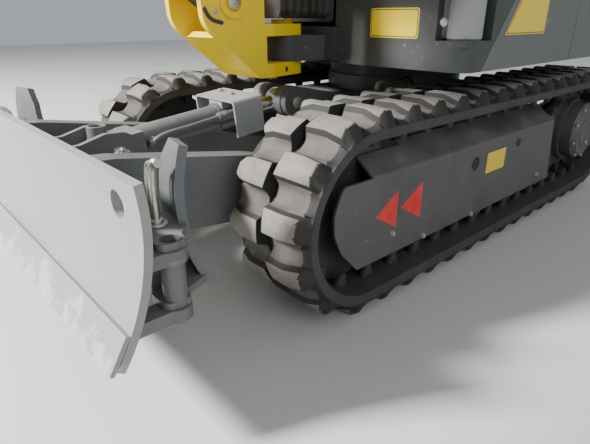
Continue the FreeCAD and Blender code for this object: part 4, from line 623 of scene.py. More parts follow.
def rounded(corners, radius, steps=5):
    """Points of an outline whose corners are rounded with a radius."""
    corners = [Vector(c) for c in corners]
    points = []
    for before, corner, after in zip(corners[-1:] + corners[:-1], corners, corners[1:] + corners[:1]):
        back, ahead = (before - corner).normalized(), (after - corner).normalized()
        half = back.angle(ahead) / 2
        reach = radius / math.tan(half)
        centre = corner + (back + ahead).normalized() * radius / math.sin(half)
        start, end = corner + back * reach - centre, corner + ahead * reach - centre
        points += [centre + start.slerp(end, i / steps).normalized() * radius for i in range(steps + 1)]
    return points


def touch(node, place, direction):
    """Place in millimetres where a ray from a place meets a CAD node."""
    hit, spot, _, _ = frame["nodes"][node].ray_cast(at(*place), Vector(direction).normalized())
    assert hit, (node, place)
    return Vector(((spot.x - SLEW[0]) * 1000, spot.y * 1000, spot.z * 1000))


print("blocks ready")

# %% [markdown]
# ## Signs and plates
# The guard carries two red triangles that point to the front, and yellow plates warn
# of the swinging house. They are vinyl film, 0.3 mm thick, with a glossy clear coat
# over a matt print. The yellow ones stay blank, with the black rim the real ones have.

# %% Film for the signs
def vinyl_film(name, colour, rough=0.32):
    material, tree, shader = start_material(name, Roughness=rough, Coat_Weight=0.25)
    where = add(tree, "ShaderNodeTexCoord")
    fade = add(tree, "ShaderNodeTexNoise", {"Vector": where.outputs["Object"], "Scale": 45.0, "Detail": 4.0})
    share = add(tree, "ShaderNodeMapRange", {"Value": fade.outputs["Fac"], "From Min": 0.35, "From Max": 0.75,
                                             "To Min": 0.0, "To Max": 0.12})
    mixed = add(tree, "ShaderNodeMix", {"Factor": share.outputs["Result"], 6: linear(colour),
                                        7: linear("#b5ada0")}, data_type="RGBA")
    tree.links.new(mixed.outputs[2], shader.inputs["Base Color"])
    return material


red_film = vinyl_film("red_vinyl_film", "#dd1712")
yellow_film = vinyl_film("yellow_vinyl_film", "#efcf10")
black_film = vinyl_film("black_vinyl_film", "#191918")

# %% Signs on the guards
for side, name in ((1, "left"), (-1, "right")):
    signs = bmesh.new()
    for tip_x, base_x, low, high in ((627, 549, 162, 254), (535, 452, 160, 255)):
        middle = (base_x + tip_x) / 2
        reach, half = side * (middle - base_x), (high - low) / 2
        add_plate(signs, [(reach, -half), (-reach, 0), (reach, half)][::side], 0.3,
                  (middle, side * 455.0, (low + high) / 2), (0, side, 0))
    make_piece("guard_triangles_" + name, signs, red_film, "track_side_" + name)
    for title, trim, depth, finish in (("rim", 0, 0.3, black_film), ("film", 4, 0.5, yellow_film)):
        label = bmesh.new()
        add_plate(label, oblong(112 - trim, 64 - trim), depth, (89, side * 455.0, 237), (0, side, 0), round_by=4)
        make_piece(f"guard_label_{title}_{name}", label, finish, "track_side_" + name)

# %% Signs on the house
for title, trim, depth, finish in (("edge", 0, 0.3, yellow_film), ("rim", 5, 0.5, black_film),
                                   ("film", 9, 0.7, yellow_film)):
    plates = bmesh.new()
    add_plate(plates, oblong(143 - trim, 67 - trim), depth, (400, 293, 603), (1, 0, 0), round_by=6)
    inset = trim / 2
    add_plate(plates, [(-108 + inset * 1.8, -54 + inset), (108 - inset, -54 + inset), (108 - inset, 54 - inset),
                       (-30 + inset, 54 - inset)], depth, (130, 495, 631), (0, 1, 0), round_by=6)
    make_piece("house_sign_" + title, plates, finish, "house")
print("signs done")

# %% [markdown]
# ## Bolts on the undercarriage
# Each track guard is bolted on at its foot, and a ring of bolts holds the cover of the
# travel motor. They are hexagon heads with a washer under each. One function makes a
# bolt, and a loop lays out every bolt of one body in the same bmesh.

# %% Undercarriage bolts
DRIVE_X = WHEEL_REAR
for side, name in ((1, "left"), (-1, "right")):
    bolts = bmesh.new()
    for x, z, size in ((195, 100, 8), (-222, 129, 8), (430, 104, 8), (560, 150, 7)):
        add_bolt(bolts, (x, side * 455, z), (0, side, 0), size)
    for step in range(9):
        turn = math.radians(20 + step * 40)
        add_bolt(bolts, (DRIVE_X + 94 * math.cos(turn), side * 462, AXLE_HEIGHT + 94 * math.sin(turn)),
                 (0.0, side, 0.0), 7)
    add_bolt(bolts, (DRIVE_X, side * 470, AXLE_HEIGHT + 40), (0, side, 0), 10)
    add_bolt(bolts, (DRIVE_X, side * 470, AXLE_HEIGHT - 40), (0, side, 0), 10)
    make_piece("undercarriage_bolts_" + name, bolts, zinc_plated, "track_side_" + name)
    plugs = bmesh.new()
    for x, z in ((211, 251), (-37, 270)):
        add_drum(plugs, (x, side * 451, z), (0, side, 0), 13.5, 4.3, 1.0)
    make_piece("guard_plugs_" + name, plugs, hose_rubber, "track_side_" + name)
    hub = bmesh.new()
    add_drum(hub, (DRIVE_X, side * 470, AXLE_HEIGHT), (0, side, 0), 62, 3, 1.2, end_radius=58)
    make_piece("motor_cover_" + name, hub, grey_enamel, "track_side_" + name)

# %% [markdown]
# ## Locking pins of the folding wings
# Each wing of the blade is held open or shut by a bent bar dropped through its two
# shelves, with a washer on the upper one and a thin spring leg beside it. Bar and leg
# are drawn wire, so a curve with a round section is the shortest way to make them.

# %% Locking pins
LOCK_BARS = {
    "left": [(1115, 406, 300), (1114, 405, 396), (1113, 408, 411), (1112, 415, 419), (1111, 425, 420)],
    "right": [(1115, -406, 300), (1115, -408, 366), (1120, -410, 386), (1140, -420, 394), (1166, -436, 395)]}
LOCK_LEGS = {
    "left": [(1115, 388, 312), (1113, 387, 398), (1112, 391, 411), (1112, 402, 417)],
    "right": [(1118, -388, 312), (1118, -388, 344), (1117, -392, 352), (1116, -402, 354)]}
for side, name in ((1, "left"), (-1, "right")):
    make_pipe("wing_lock_bar_" + name, [LOCK_BARS[name]], 7, zinc_plated, "wing_" + name, sides=6)
    make_pipe("wing_lock_leg_" + name, [LOCK_LEGS[name]], 3.5, zinc_plated, "wing_" + name)
    washers = bmesh.new()
    add_drum(washers, (1115, side * 406, 318), (0, 0, 1), 19, 3, 0.8)
    add_drum(washers, (1115, side * 406, 321), (0, 0, 1), 11, 6, 1.0)
    make_piece("wing_lock_washers_" + name, washers, zinc_plated, "wing_" + name)

# %% [markdown]
# ## Blade cylinder's pipes, bolts and pins
# Oil reaches the far end of the cylinder through a thin steel pipe that runs beside
# the barrel into a thicker fitting. Two bolts hold the cover over the rod's gland, and
# a slotted castle nut sits on the end of the front pin. The nut is a hexagon drum with
# six slots between raised blocks.

# %% Pipes and bolts of the blade cylinder
make_pipe("blade_cylinder_pipe", [[(940, 48, 350), (932, 60, 362), (915, 61, 369), (850, 61, 378),
                                   (765, 60, 390), (740, 60, 394)]],
          6, painted_shade_silver_enamel, "blade_cylinder")
fittings = bmesh.new()
add_drum(fittings, (765, 60, 390), (-1, 0, 0.09), 11, 62, 1.5)
add_drum(fittings, (752, 60, 391), (-1, 0, 0.09), 13.5, 16, 1.0, sides=6)
add_drum(fittings, (935, 44, 345), (0.1, 0.6, 0.8), 11, 22, 1.0, sides=6)
make_piece("blade_cylinder_fittings", fittings, painted_shade_silver_enamel, "blade_cylinder")

cover_bolts = bmesh.new()
for x, y in ((682, -46), (690, 16)):
    add_bolt(cover_bolts, touch("blade_cover", (x, y, 600), (0, 0, -1)), (0.05, 0, 1), 8)
make_piece("blade_cover_bolts", cover_bolts, silver_enamel, "blade_cylinder")

# %% Pins of the blade
castle = bmesh.new()
add_drum(castle, (1022, 70, 345), (0, 1, 0), 19, 9, 1.0, sides=6)
for step in range(6):
    turn = math.radians(30 + 60 * step)
    spot = (1022 + 13 * math.cos(turn), 79, 345 + 13 * math.sin(turn))
    add_drum(castle, spot, (0, 1, 0), 4.6, 8, 0.8, sides=8)
add_drum(castle, (1022, 79, 345), (0, 1, 0), 10, 6, 1.0, sides=24)
add_drum(castle, (1022, -70, 345), (0, -1, 0), 19, 7, 1.0)
make_piece("blade_pin_nut", castle, zinc_plated, "blade")
cup = bmesh.new()
add_ring(cup, (1040, 0, 352), (0, 0, 1), 21, 6, 47)
make_piece("blade_pin_tube", cup, painted_shade_silver_enamel, "blade")
pins = bmesh.new()
for side in (1, -1):
    add_drum(pins, (520, side * 78, 402), (0, side, 0), 15, 4, 1.2)
make_piece("frame_pin_ends", pins, zinc_plated, "centre")

# %% [markdown]
# ## Hose boot between house and post
# Oil for the boom passes through the opening in the front panel, above the swing lug.
# A black rubber boot wraps the bundle up to the post. On the machine it bends each
# time the post swings; here it is one fixed piece, carried by no body, with a row of
# shallow folds along it.

# %% Hose boot
boot = bmesh.new()
bmesh.ops.create_cube(boot, size=1.0, matrix=Matrix.Translation(at(484, -4, 685))
                      @ Matrix.Diagonal((0.182, 0.166, 0.142, 1)))
bmesh.ops.bevel(boot, geom=[e for e in boot.edges if abs(e.verts[0].co.x - e.verts[1].co.x) > 0.1], offset=0.022,
                segments=4, affect="EDGES", profile=0.5, material=-1)
long_edges = [e for e in boot.edges if abs(e.verts[0].co.x - e.verts[1].co.x) > 0.1]
bmesh.ops.subdivide_edges(boot, edges=long_edges, cuts=35, use_grid_fill=True)
middle = at(484, -4, 685)
for vertex in boot.verts:
    fold = 1.0 + 0.012 * math.cos((vertex.co.x - middle.x) * 2 * math.pi / 0.026)
    vertex.co.y = middle.y + (vertex.co.y - middle.y) * fold
    vertex.co.z = middle.z + (vertex.co.z - middle.z) * fold
boot_piece = make_piece("hose_boot", boot, hose_rubber, None)
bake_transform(boot_piece)
collar = bmesh.new()
add_plate(collar, oblong(196, 84), 5, (399, -6, 645), (1, 0, 0), round_by=12, roll=1.5)
make_piece("boot_collar", collar, hose_rubber, "house")

# %% [markdown]
# ## Hoses from the post to the boom
# Four hoses leave the boot, pass behind the boom's foot and meet the steel pipes on
# the boom's sides. They are fixed pieces, carried by no body.

# %% Post hoses
for side in (1, -1):
    for number, off in enumerate((-16, 16)):
        hose = make_pipe(f"foot_hose_{'left' if side > 0 else 'right'}_{number}", [[
            (556 - off, side * 30, 740), (550 - off, side * 34, 820), (556 - off * 0.9, side * 44, 900),
            (610 - off * 0.6, side * 52, 956 + off * 0.4), (700, side * 54, 950 + off), (790, side * 52, 908 + off)]],
            8.5, hose_rubber, None, sides=5)
        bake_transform(hose)

# %% [markdown]
# ## Pins and locks of the post
# The pin of the boom's cylinder ends in a bright round head on a yellow boss, and a
# bent lock bar with its bolt keeps it from turning.

# %% Post pins
boss = bmesh.new()
add_ring(boss, (720, 79, 648), (0, 1, 0), 36, 15, 8)
add_ring(boss, (630, 79, 835), (0, 1, 0), 42, 15, 8)
make_piece("post_bosses", boss, yellow_enamel, "post")
heads = bmesh.new()
for side in (1, -1):
    for x, z, radius in ((720, 648, 16), (630, 835, 21)):
        add_drum(heads, (x, side * 84.5, z), (0, side, 0), radius, 4, 1.2)
        add_drum(heads, (x, side * 88.3, z), (0, side, 0), 4, 3, 1)
    add_bolt(heads, (766, side * 79, 629), (0, side, 0), 7)
make_piece("post_pin_heads", heads, zinc_plated, "post")
make_pipe("post_lock_bar", [[(797, 79, 636), (781, 80, 614), (750, 80, 604)]], 4.5, cast_iron, "post")
plug = bmesh.new()
add_drum(plug, touch("swing_post", (548, 300, 490), (0, -1, 0)) - Vector((0, 1, 0)), (0, 1, 0), 7, 1.8, 0.4)
make_piece("post_ear_plug", plug, hose_rubber, "post")

# %% [markdown]
# ## Corner tube
# A bright steel tube guards the front left corner of the house, in a pocket of the
# panel. A thin sleeve of silver paint stands for the tube's outside, a lighter plate
# lines the pocket, and one bright bolt sits on that plate near the tube's foot.

# %% Corner tube
tube = bmesh.new()
add_drum(tube, (352, 456, 571), (0, 0, 1), 38.6, 150, 2, sides=64)
make_piece("corner_tube", tube, silver_enamel, "house")
pocket = bmesh.new()
add_plate(pocket, oblong(40, 116), 3, (372, 414, 628), (0.9, 0.43, 0), round_by=4, roll=1)
make_piece("corner_plate", pocket, light_enamel, "house")
bolt = bmesh.new()
add_bolt(bolt, (376, 414, 606), (0.9, 0.43, 0), 10)
make_piece("corner_bolt", bolt, zinc_plated, "house")

# %% Hose on the slew ring
make_pipe("ring_hose", [[(440, 300, 440), (455, 298, 456), (400, 292, 461), (320, 276, 461), (262, 262, 455),
                         (262, 258, 436)]], 6, hose_rubber, "centre", sides=5)
print("fittings on the lower machine done")

# %% [markdown]
# ## Pipes and hoses of the boom and arm
# Two steel pipes run along each side of the boom, held by clamps; at the arm's pivot
# they turn into hoses that loop round it. Pipes are laid out in the boom's own lengths,
# along it and off it, so they keep beside its flat sides whatever its angle. The hoses
# are fixed pieces, carried by no body.

# %% Boom and arm frames
def along(foot, angle):
    """Function that turns lengths along, across and off a boom or arm into a place."""
    turn = math.radians(angle)

    def place(u, y, v):
        return (foot[0] + u * math.cos(turn) - v * math.sin(turn), y, foot[1] + u * math.sin(turn) + v * math.cos(turn))
    return place


on_boom = along((630.0, 835.0), 15.492)
on_arm = along((2287.5, 1294.4), 260.0)
PIPE_RUN = ((150, 20), (300, 78), (460, 138), (600, 196), (740, 214), (900, 184), (1100, 128), (1300, 78), (1470, 40))

# %% Boom pipes and clamps
for side, name in ((1, "left"), (-1, "right")):
    make_pipe("boom_pipes_" + name, [[on_boom(u, side * 52, v + off) for u, v in PIPE_RUN] for off in (-16, 16)],
              7, yellow_enamel, "boom", sides=5)
    clamps = bmesh.new()
    for u, v in (PIPE_RUN[1], PIPE_RUN[3], PIPE_RUN[5], PIPE_RUN[7]):
        add_plate(clamps, oblong(34, 66), 22, on_boom(u, side * 43.5, v), (0, side, 0), round_by=4, roll=2)
        add_bolt(clamps, on_boom(u, side * 65.5, v), (0, side, 0), 7)
    make_piece("boom_clamps_" + name, clamps, moulded_plastic, "boom")
    for number, off in enumerate((-16, 16)):
        hose = make_pipe(f"arm_hose_{name}_{number}", [[
            on_boom(1462, side * 52, 41 + off), on_boom(1500, side * 56, 46 + off), on_boom(1590, side * 70, 76 + off),
            on_boom(1690, side * 78, 92 + off), on_boom(1780, side * 78, 40 + off * 0.3), on_arm(160, side * 66, 18 + off),
            on_arm(235, side * 48, 10 + off), on_arm(290, side * 45, 8 + off)]],
            8.5, hose_rubber, None, sides=5)
        tuple(at(*on_boom(1600, 0, 60)))
        tuple(at(*on_arm(150, 0, 40)))
        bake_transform(hose)
    make_pipe("arm_pipes_" + name, [[on_arm(u, side * 44, 8 + off) for u in (280, 400, 560)] + [
        on_arm(600, side * 44, 30 + off)] for off in (-16, 16)], 7, yellow_enamel, "arm", sides=5)
    ends = bmesh.new()
    for off in (-16, 16):
        add_drum(ends, on_boom(1450, side * 52, 43 + off), Vector(on_boom(1, 0, -0.1)) - Vector(on_boom(0, 0, 0)), 12, 26,
                 1, sides=6)
    make_piece("boom_pipe_ends_" + name, ends, zinc_plated, "boom")
    ends = bmesh.new()
    for off in (-16, 16):
        add_drum(ends, on_arm(278, side * 44, 8 + off), Vector(on_arm(1, 0, 0)) - Vector(on_arm(0, 0, 0)), 12, 26, 1,
                 sides=6)
    for u in (330, 520):
        add_plate(ends, oblong(34, 66), 17, on_arm(u, side * 35.5, 8), (0, side, 0), round_by=4, roll=2)
    make_piece("arm_pipe_ends_" + name, ends, zinc_plated, "arm")

# %% [markdown]
# ## Work lamp
# A round lamp with a moulded shell and a glass front hangs on the boom's left side and
# lights the bucket. The shell is a drum with a rolled rim, the glass a shallow dome
# flattened from a sphere.

# %% Boom lamp
lamp_place = on_boom(860, 96, 60)
aim = Vector((0.92, 0.0, -0.38)).normalized()
shell = bmesh.new()
add_drum(shell, lamp_place, aim, 40, 44, 4, end_radius=52)
add_drum(shell, Vector(lamp_place) - aim * 14, aim, 26, 16, 3)
add_plate(shell, oblong(40, 60), 6, on_boom(850, 44, 120), (0, 1, 0), round_by=6, roll=1)
add_block(shell, Vector(on_boom(850, 46, 96)) - Vector((4, 0, 60)), Vector(on_boom(850, 92, 96)) + Vector((4, 0, 0)), 1.5)
make_piece("boom_lamp_shell", shell, moulded_plastic, "boom")
front = bmesh.new()
bmesh.ops.create_uvsphere(front, u_segments=40, v_segments=12, radius=0.047, matrix=facing(Vector(lamp_place) + aim * 41, aim)
                          @ Matrix.Diagonal((1, 1, 0.22, 1)))
make_piece("boom_lamp_glass", front, safety_glass, "boom")

# %% [markdown]
# ## Cab fittings
# Every pane sits in a rubber gasket, a wiper sweeps the front pane, a tube handle helps
# the driver in, and the door has a moulded pull. Gaskets follow the outline of their
# windows: the outline's corners are rounded first, and a round section runs along them.

# %% Gaskets and wiper
CAB_LEFT, CAB_RIGHT = 484.0, -226.0
door_window = [(-110, CAB_LEFT - 12, 1120), (-110, CAB_LEFT - 12, 2130), (252, CAB_LEFT - 12, 2130),
               (270, CAB_LEFT - 12, 1500), (270, CAB_LEFT - 12, 1000), (60, CAB_LEFT - 12, 1120)]
make_pipe("door_gasket", [rounded(door_window, 40)], 7, hose_rubber, "door", closed=True)
rear_window = [(-326, y, z) for y, z in ((-156, 1230), (414, 1230), (414, 2150), (-156, 2150))]
make_pipe("rear_gasket", [rounded(rear_window, 45)], 8, hose_rubber, "house", closed=True)
side_window = [(x, CAB_RIGHT + 6, z) for x, z in ((-270, 1180), (-270, 2170), (300, 2170), (340, 1500), (340, 1000),
                                                  (150, 1180))]
make_pipe("right_gasket", [rounded(side_window, 45)], 7, hose_rubber, "house", closed=True)

# %% Wiper and handles
pivot = touch("cab_frame", (700, 130, 815), (-1, 0, 0))
wiper = bmesh.new()
add_drum(wiper, pivot, (1, 0, 0), 16, 26, 2)
make_piece("wiper_hub", wiper, moulded_plastic, "house")
glass_rows = [touch("cab_glass", (700, y, z), (-1, 0, 0)) for y, z in ((150, 940), (190, 1130), (235, 1330))]
make_pipe("wiper_arm", [[pivot + Vector((20, 0, 0))] + [spot + Vector((14, 0, 0)) for spot in glass_rows]], 4,
          moulded_plastic, "house")
blade_rows = [touch("cab_glass", (700, 205 + i * 12, 1120 + i * 75), (-1, 0, 0)) + Vector((5, 0, 0)) for i in range(6)]
make_pipe("wiper_blade", [blade_rows], 4.5, hose_rubber, "house")
make_pipe("cab_grab_handle", [[(430, 440, 1000), (452, 440, 1012), (455, 440, 1100), (455, 440, 1300), (452, 440, 1392),
                               (425, 440, 1404)]], 11, dark_enamel, "house", sides=6)
handle = bmesh.new()
add_plate(handle, oblong(120, 66), 4, (215, CAB_LEFT, 960), (0, 1, 0), round_by=14, roll=1.5)
add_plate(handle, oblong(86, 20), 7, (215, CAB_LEFT + 3.5, 968), (0, 1, 0), round_by=8, roll=2.5)
add_drum(handle, (262, CAB_LEFT + 3, 942), (0, 1, 0), 9, 4, 1)
make_piece("door_pull", handle, moulded_plastic, "door")

# %% Roof lamps
lamps, fronts = bmesh.new(), bmesh.new()
for y in (CAB_RIGHT + 90, CAB_LEFT - 90):
    low = touch("cab_frame", (335, y, 2600), (0, 0, -1))
    add_block(lamps, (322, y - 12, low.z - 4 - 60), (336, y + 12, low.z), 2)
    spot = Vector((352, y, 2262))
    add_plate(lamps, oblong(110, 74), 40, spot, (1, 0, -0.25), round_by=14, roll=5)
    add_plate(fronts, oblong(92, 56), 4, spot + Vector((39.5, 0, -9.5)), (1, 0, -0.25), round_by=10, roll=2)
make_piece("roof_lamps", lamps, moulded_plastic, "house")
make_piece("roof_lamp_glass", fronts, safety_glass, "house")
print("cab fittings done")

# %% [markdown]
# ## Controls
# The two levers end in moulded grips with a button, and rubber boots with four folds
# keep dust out of their feet. A boot is a row of cones, wide and narrow in turn. The
# travel levers get plain round knobs, and pedals stand before them.

# %% Levers, boots and pedals
CAB_MID = (CAB_LEFT + CAB_RIGHT) / 2
grips, boots = bmesh.new(), bmesh.new()
for y in (CAB_MID - 269, CAB_MID + 265):
    lean = Vector((0.15, 0, 1)).normalized()
    foot = Vector((130, y, 1240))
    top = foot + lean * 96
    add_drum(grips, top, lean, 17, 60, 3, end_radius=21)
    add_drum(grips, top + lean * 58, lean, 23, 16, 5)
    add_drum(grips, top + lean * 73, lean, 7, 4, 1)
    for fold in range(4):
        wide = 42 - fold * 6
        add_drum(boots, foot + lean * (10 + fold * 14), lean, wide, 8, 2, end_radius=wide - 7)
        add_drum(boots, foot + lean * (18 + fold * 14), lean, wide - 7, 6, 0, end_radius=wide - 6)
for y in (CAB_MID - 40, CAB_MID + 40):
    add_drum(grips, (295, y, 1326), (0.1, 0, 1), 20, 44, 8, end_radius=18)
make_piece("lever_grips", grips, moulded_plastic, "house")
make_piece("lever_boots", boots, hose_rubber, "house")
pedals = bmesh.new()
for y in (CAB_MID - 115, CAB_MID + 115):
    add_plate(pedals, oblong(90, 150), 8, (250, y, 760), (-0.55, 0, 0.84), up=(1, 0, 0), round_by=10, roll=2)
    for rib in range(6):
        spot = Vector((250, y, 760)) + Vector((0.84, 0, 0.55)) * (rib * 22 - 55)
        add_plate(pedals, oblong(76, 7), 11, spot, (-0.55, 0, 0.84), up=(1, 0, 0), roll=1.5)
make_piece("pedals", pedals, hose_rubber, "house")
mat = bmesh.new()
add_block(mat, (-60, CAB_RIGHT + 50, 732), (360, CAB_LEFT - 50, 736), 1)
for rib in range(16):
    add_block(mat, (-40 + rib * 25, CAB_RIGHT + 60, 735), (-30 + rib * 25, CAB_LEFT - 60, 738), 1)
make_piece("floor_mat", mat, hose_rubber, "house")
print("controls done")

# %% [markdown]
# ## Louvres, cap and painted shade behind the slats
# Air for the engine enters through slatted openings on the right side and the rear
# hood; a thin dark sheet behind the slats paints the shade in those openings. The fuel
# filler has a moulded cap with grip ribs. A slat on the round hood is a small rectangle
# spun about the slew axis through the dark sheet's angle.

# %% Right side
louvres, dark = bmesh.new(), bmesh.new()
# Thin dark sheet behind the slats: painted shade for the openings.
add_plate(dark, oblong(230, 210), 0.6, (-240, -492, 870), (0, -1, 0), round_by=12)
for slat in range(9):
    add_plate(louvres, oblong(214, 9), 2.6, (-240, -492.2, 786 + slat * 21), (0, -1, 0), round_by=3, roll=1)
make_piece("side_louvre_painted_shade", dark, moulded_plastic, "house")
make_piece("side_louvres", louvres, light_enamel, "house")
cap = bmesh.new()
cap_foot = touch("right_housing", (-60, -370, 1400), (0, 0, -1))
add_drum(cap, cap_foot, (0, 0, 1), 46, 12, 2)
add_drum(cap, cap_foot + Vector((0, 0, 12)), (0, 0, 1), 38, 22, 4)
for rib in range(14):
    turn = 2 * math.pi * rib / 14
    add_drum(cap, cap_foot + Vector((37 * math.cos(turn), 37 * math.sin(turn), 13)), (0, 0, 1), 4, 18, 1, sides=10)
make_piece("fuel_cap", cap, moulded_plastic, "house")
latch = bmesh.new()
add_drum(latch, (190, -492, 840), (0, -1, 0), 17, 2.4, 1)
add_plate(latch, oblong(8, 22), 0.5, (190, -494.3, 840), (0, -1, 0), round_by=3)
make_piece("housing_lock", latch, zinc_plated, "house")


# %% Rear hood and exhaust
def add_arc_bar(shape, radius, thick, low, height, start, end, steps=14):
    """Bar bent round the slew axis, between two angles from straight back."""
    turn = Matrix.Translation(at(0, 0, 0)) @ Matrix.Rotation(math.radians(180 + start), 4, "Z")
    rim = [shape.verts.new(turn @ Vector((r / 1000, 0, z / 1000))) for r, z in
           ((radius, low), (radius + thick, low + 1.5), (radius + thick, low + height - 1.5), (radius, low + height))]
    edges = [shape.edges.new((rim[i], rim[(i + 1) % 4])) for i in range(4)]
    bmesh.ops.spin(shape, geom=rim + edges + [shape.faces.new(rim)], cent=at(0, 0, 0), axis=(0, 0, 1),
                   angle=math.radians(end - start), steps=steps)


hood_painted_shade_sheet, slats = bmesh.new(), bmesh.new()
# Thin dark band behind the hood's slats: painted shade for the openings.
add_arc_bar(hood_painted_shade_sheet, 653.6, 0.8, 925, 190, -17, 17)
for slat in range(9):
    add_arc_bar(slats, 654, 4.5, 934 + slat * 20, 9, -16.4, 16.4)
make_piece("hood_louvre_painted_shade", hood_painted_shade_sheet, moulded_plastic, "hood")
make_piece("hood_louvres", slats, light_enamel, "hood")
pull = bmesh.new()
add_arc_bar(pull, 653.6, 5, 1010, 34, 30, 38)
add_arc_bar(pull, 653.6, 8, 1020, 12, 31, 37)
make_piece("hood_pull", pull, moulded_plastic, "hood")
make_pipe("exhaust", [[(-432, -150, 1036), (-432, -150, 1120), (-432, -150, 1190), (-438, -150, 1226),
                       (-456, -150, 1246)]], 23, cast_iron, "house", sides=8)
clamp = bmesh.new()
add_ring(clamp, (-432, -150, 1060), (0, 0, 1), 30, 8, 18)
make_piece("exhaust_clamp", clamp, zinc_plated, "house")
reflectors = bmesh.new()
for start, end in ((-44, -37), (37, 44)):
    add_arc_bar(reflectors, 660, 4, 620, 46, start, end, steps=6)
make_piece("rear_reflectors", reflectors, red_film, "house")
print("rear fittings done")

# %% [markdown]
# ## Seat
# The driver sits on foam under a stretched vinyl cover. Each pad is blown up as cloth:
# a rounded block is remeshed evenly, Blender's Cloth presses it outwards with no
# gravity, and a cap on each point's travel keeps its corners and its flat underside.
# The sewn channels come last, as soft grooves pressed in along straight lines.

# %% Stuffed pads
def stuffed(name, low, high, roll, swell, seams, body="house", voxel=8.0, frames=18):
    """Padded block between two corners; seams are rows of (axis letter, place, depth)."""
    shape = bmesh.new()
    add_block(shape, low, high, roll)
    mesh = bpy.data.meshes.new(name)
    shape.to_mesh(mesh)
    shape.free()
    block = bpy.data.objects.new(name + "_foam", mesh)
    bpy.context.scene.collection.objects.link(block)
    even = block.modifiers.new("even", "REMESH")
    even.mode, even.voxel_size = "VOXEL", voxel / 1000
    graph = bpy.context.evaluated_depsgraph_get()
    cover = bpy.data.objects.new(name, bpy.data.meshes.new_from_object(block.evaluated_get(graph)))
    bpy.data.objects.remove(block)
    bpy.context.scene.collection.objects.link(cover)
    cloth = cover.modifiers.new("cover", "CLOTH")
    cloth.settings.use_pressure = True
    cloth.settings.uniform_pressure_force = 4.0
    cloth.settings.effector_weights.gravity = 0.0
    for frame_number in range(1, frames + 1):
        bpy.context.scene.frame_set(frame_number)
    graph = bpy.context.evaluated_depsgraph_get()
    blown = [v.co.copy() for v in cover.evaluated_get(graph).to_mesh().vertices]
    cover.modifiers.remove(cloth)
    bpy.context.scene.frame_set(1)
    floor_z = low[2] / 1000 + 0.004
    for vertex, swollen in zip(cover.data.vertices, blown):
        move = swollen - vertex.co
        if move.length > swell / 1000:
            move = move.normalized() * swell / 1000
        if vertex.co.z < floor_z:
            move.z = 0.0
        for axis, spot, depth in seams:
            line = at(*[spot if axis == letter else 0 for letter in "xyz"])["xyz".index(axis)]
            away = (vertex.co["xyz".index(axis)] - line) / 0.009
            move -= vertex.normal * depth / 1000 * math.exp(-away * away)
        vertex.co += move
    for face in cover.data.polygons:
        face.use_smooth = True
    cover.data.materials.append(seat_vinyl)
    finer = cover.modifiers.new("finer", "SUBSURF")
    finer.levels = finer.render_levels = 1
    print(name, len(cover.data.vertices), "points")
    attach(cover, body)
    return cover


def leaned(pad, foot, degrees):
    """Lean a pad back about a cross line, in its mesh."""
    turn = Matrix.Translation(at(*foot)) @ Matrix.Rotation(math.radians(degrees), 4, "Y") \
        @ Matrix.Translation(-at(*foot))
    pad.data.transform(turn)
    return pad


# %% Cushion, back and head pad
seat_cushion = stuffed("seat_cushion", (-180, CAB_MID - 200, 1008), (245, CAB_MID + 200, 1078), 24, 9,
                       [("y", CAB_MID - 130, 7), ("y", CAB_MID + 130, 7), ("x", -40, 4), ("x", 90, 4)])
seat_back = leaned(stuffed("seat_back", (-150, CAB_MID - 190, 1088), (-78, CAB_MID + 190, 1400), 26, 10,
                           [("y", CAB_MID - 115, 7), ("y", CAB_MID + 115, 7), ("z", 1190, 4), ("z", 1290, 4)]),
                   (-110, 0, 1080), -12)
head_pad = leaned(stuffed("head_pad", (-146, CAB_MID - 115, 1424), (-84, CAB_MID + 115, 1545), 22, 9,
                          [("z", 1484, 4)]), (-110, 0, 1080), -12)
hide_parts("seat")

# %% [markdown]
# ## Seat frame
# Under the cushion stands a moulded box on two slide rails, and behind the back a
# moulded shell carries it. Armrests are moulded too, hinged on short drums.

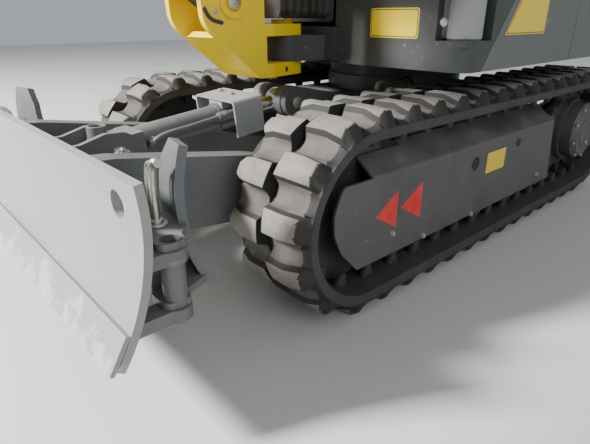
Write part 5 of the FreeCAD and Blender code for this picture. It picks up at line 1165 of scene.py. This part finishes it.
# %% Seat frame
shell = bmesh.new()
add_block(shell, (-165, CAB_MID - 165, 745), (150, CAB_MID + 165, 990), 12)
add_block(shell, (-195, CAB_MID - 195, 985), (235, CAB_MID + 195, 1012), 8)
for y in (CAB_MID - 130, CAB_MID + 130):
    add_block(shell, (-190, y - 18, 733), (190, y + 18, 747), 2)
for y in (CAB_MID - 232, CAB_MID + 206):
    add_block(shell, (-130, y, 1240), (130, y + 26, 1272), 10)
    add_drum(shell, (-140, y, 1250), (0, 1, 0), 24, 26, 3)
make_piece("seat_frame", shell, moulded_plastic, "house")
rear = bmesh.new()
add_plate(rear, oblong(370, 420), 12, (-158, CAB_MID, 1260), (-1, 0, 0), round_by=40, roll=4)
bmesh.ops.rotate(rear, verts=rear.verts[:], cent=at(-110, 0, 1080), matrix=Matrix.Rotation(math.radians(-12), 3, "Y"))
for y in (CAB_MID - 50, CAB_MID + 50):
    add_drum(rear, (-181, y, 1380), (-0.2, 0, 1), 6, 90, 1)
make_piece("seat_shell", rear, moulded_plastic, "house")
print("seat done")

# %% [markdown]
# ## Floor, light and camera
# The machine stands on a plain pale floor in soft studio light: a wide key light from
# the front right, as the sun stood, and a pale sky. The camera stands at the front
# left corner, a metre from the track, at hip height.

# %% Floor, light and camera
floor_mesh = bpy.data.meshes.new("floor")
shape = bmesh.new()
bmesh.ops.create_grid(shape, x_segments=1, y_segments=1, size=12.0)
shape.to_mesh(floor_mesh)
shape.free()
floor = bpy.data.objects.new("floor", floor_mesh)
bpy.context.scene.collection.objects.link(floor)
floor_paint, _, _ = start_material("pale_floor", Base_Color=linear("#cfcecb"), Roughness=0.85)
floor_mesh.materials.append(floor_paint)

world = bpy.data.worlds.new("sky")
world.use_nodes = True
world.node_tree.nodes["Background"].inputs["Color"].default_value = linear("#dfe6ee")
world.node_tree.nodes["Background"].inputs["Strength"].default_value = 0.55
bpy.context.scene.world = world

for name, kind, place, aim, energy, size in (
        ("key", "AREA", (4.6, -2.6, 4.0), (0.3, 0.2, 0.2), 1500.0, 0.9),
        ("fill", "AREA", (0.8, 4.4, 2.6), (0.0, 0.0, 0.3), 60.0, 3.5)):
    lamp = bpy.data.lights.new(name, kind)
    lamp.energy = energy
    lamp.size = size
    stand = bpy.data.objects.new(name, lamp)
    stand.location = place
    stand.rotation_euler = (Vector(aim) - Vector(place)).to_track_quat("-Z", "Y").to_euler()
    bpy.context.scene.collection.objects.link(stand)

camera_data = bpy.data.cameras.new("camera")
camera_data.sensor_fit = "HORIZONTAL"
camera_data.sensor_width = 36.0
camera_data.lens = 29.45
camera_data.clip_start = 0.05
camera = bpy.data.objects.new("camera", camera_data)
camera.location = at(1420, 1068, 618)
dip = math.radians(23.09)
view = Vector((-0.6699 * math.cos(dip), -0.7425 * math.cos(dip), -math.sin(dip)))
camera.rotation_euler = view.to_track_quat("-Z", "Y").to_euler()
bpy.context.scene.collection.objects.link(camera)
bpy.context.scene.camera = camera
print("camera at", tuple(camera.location))
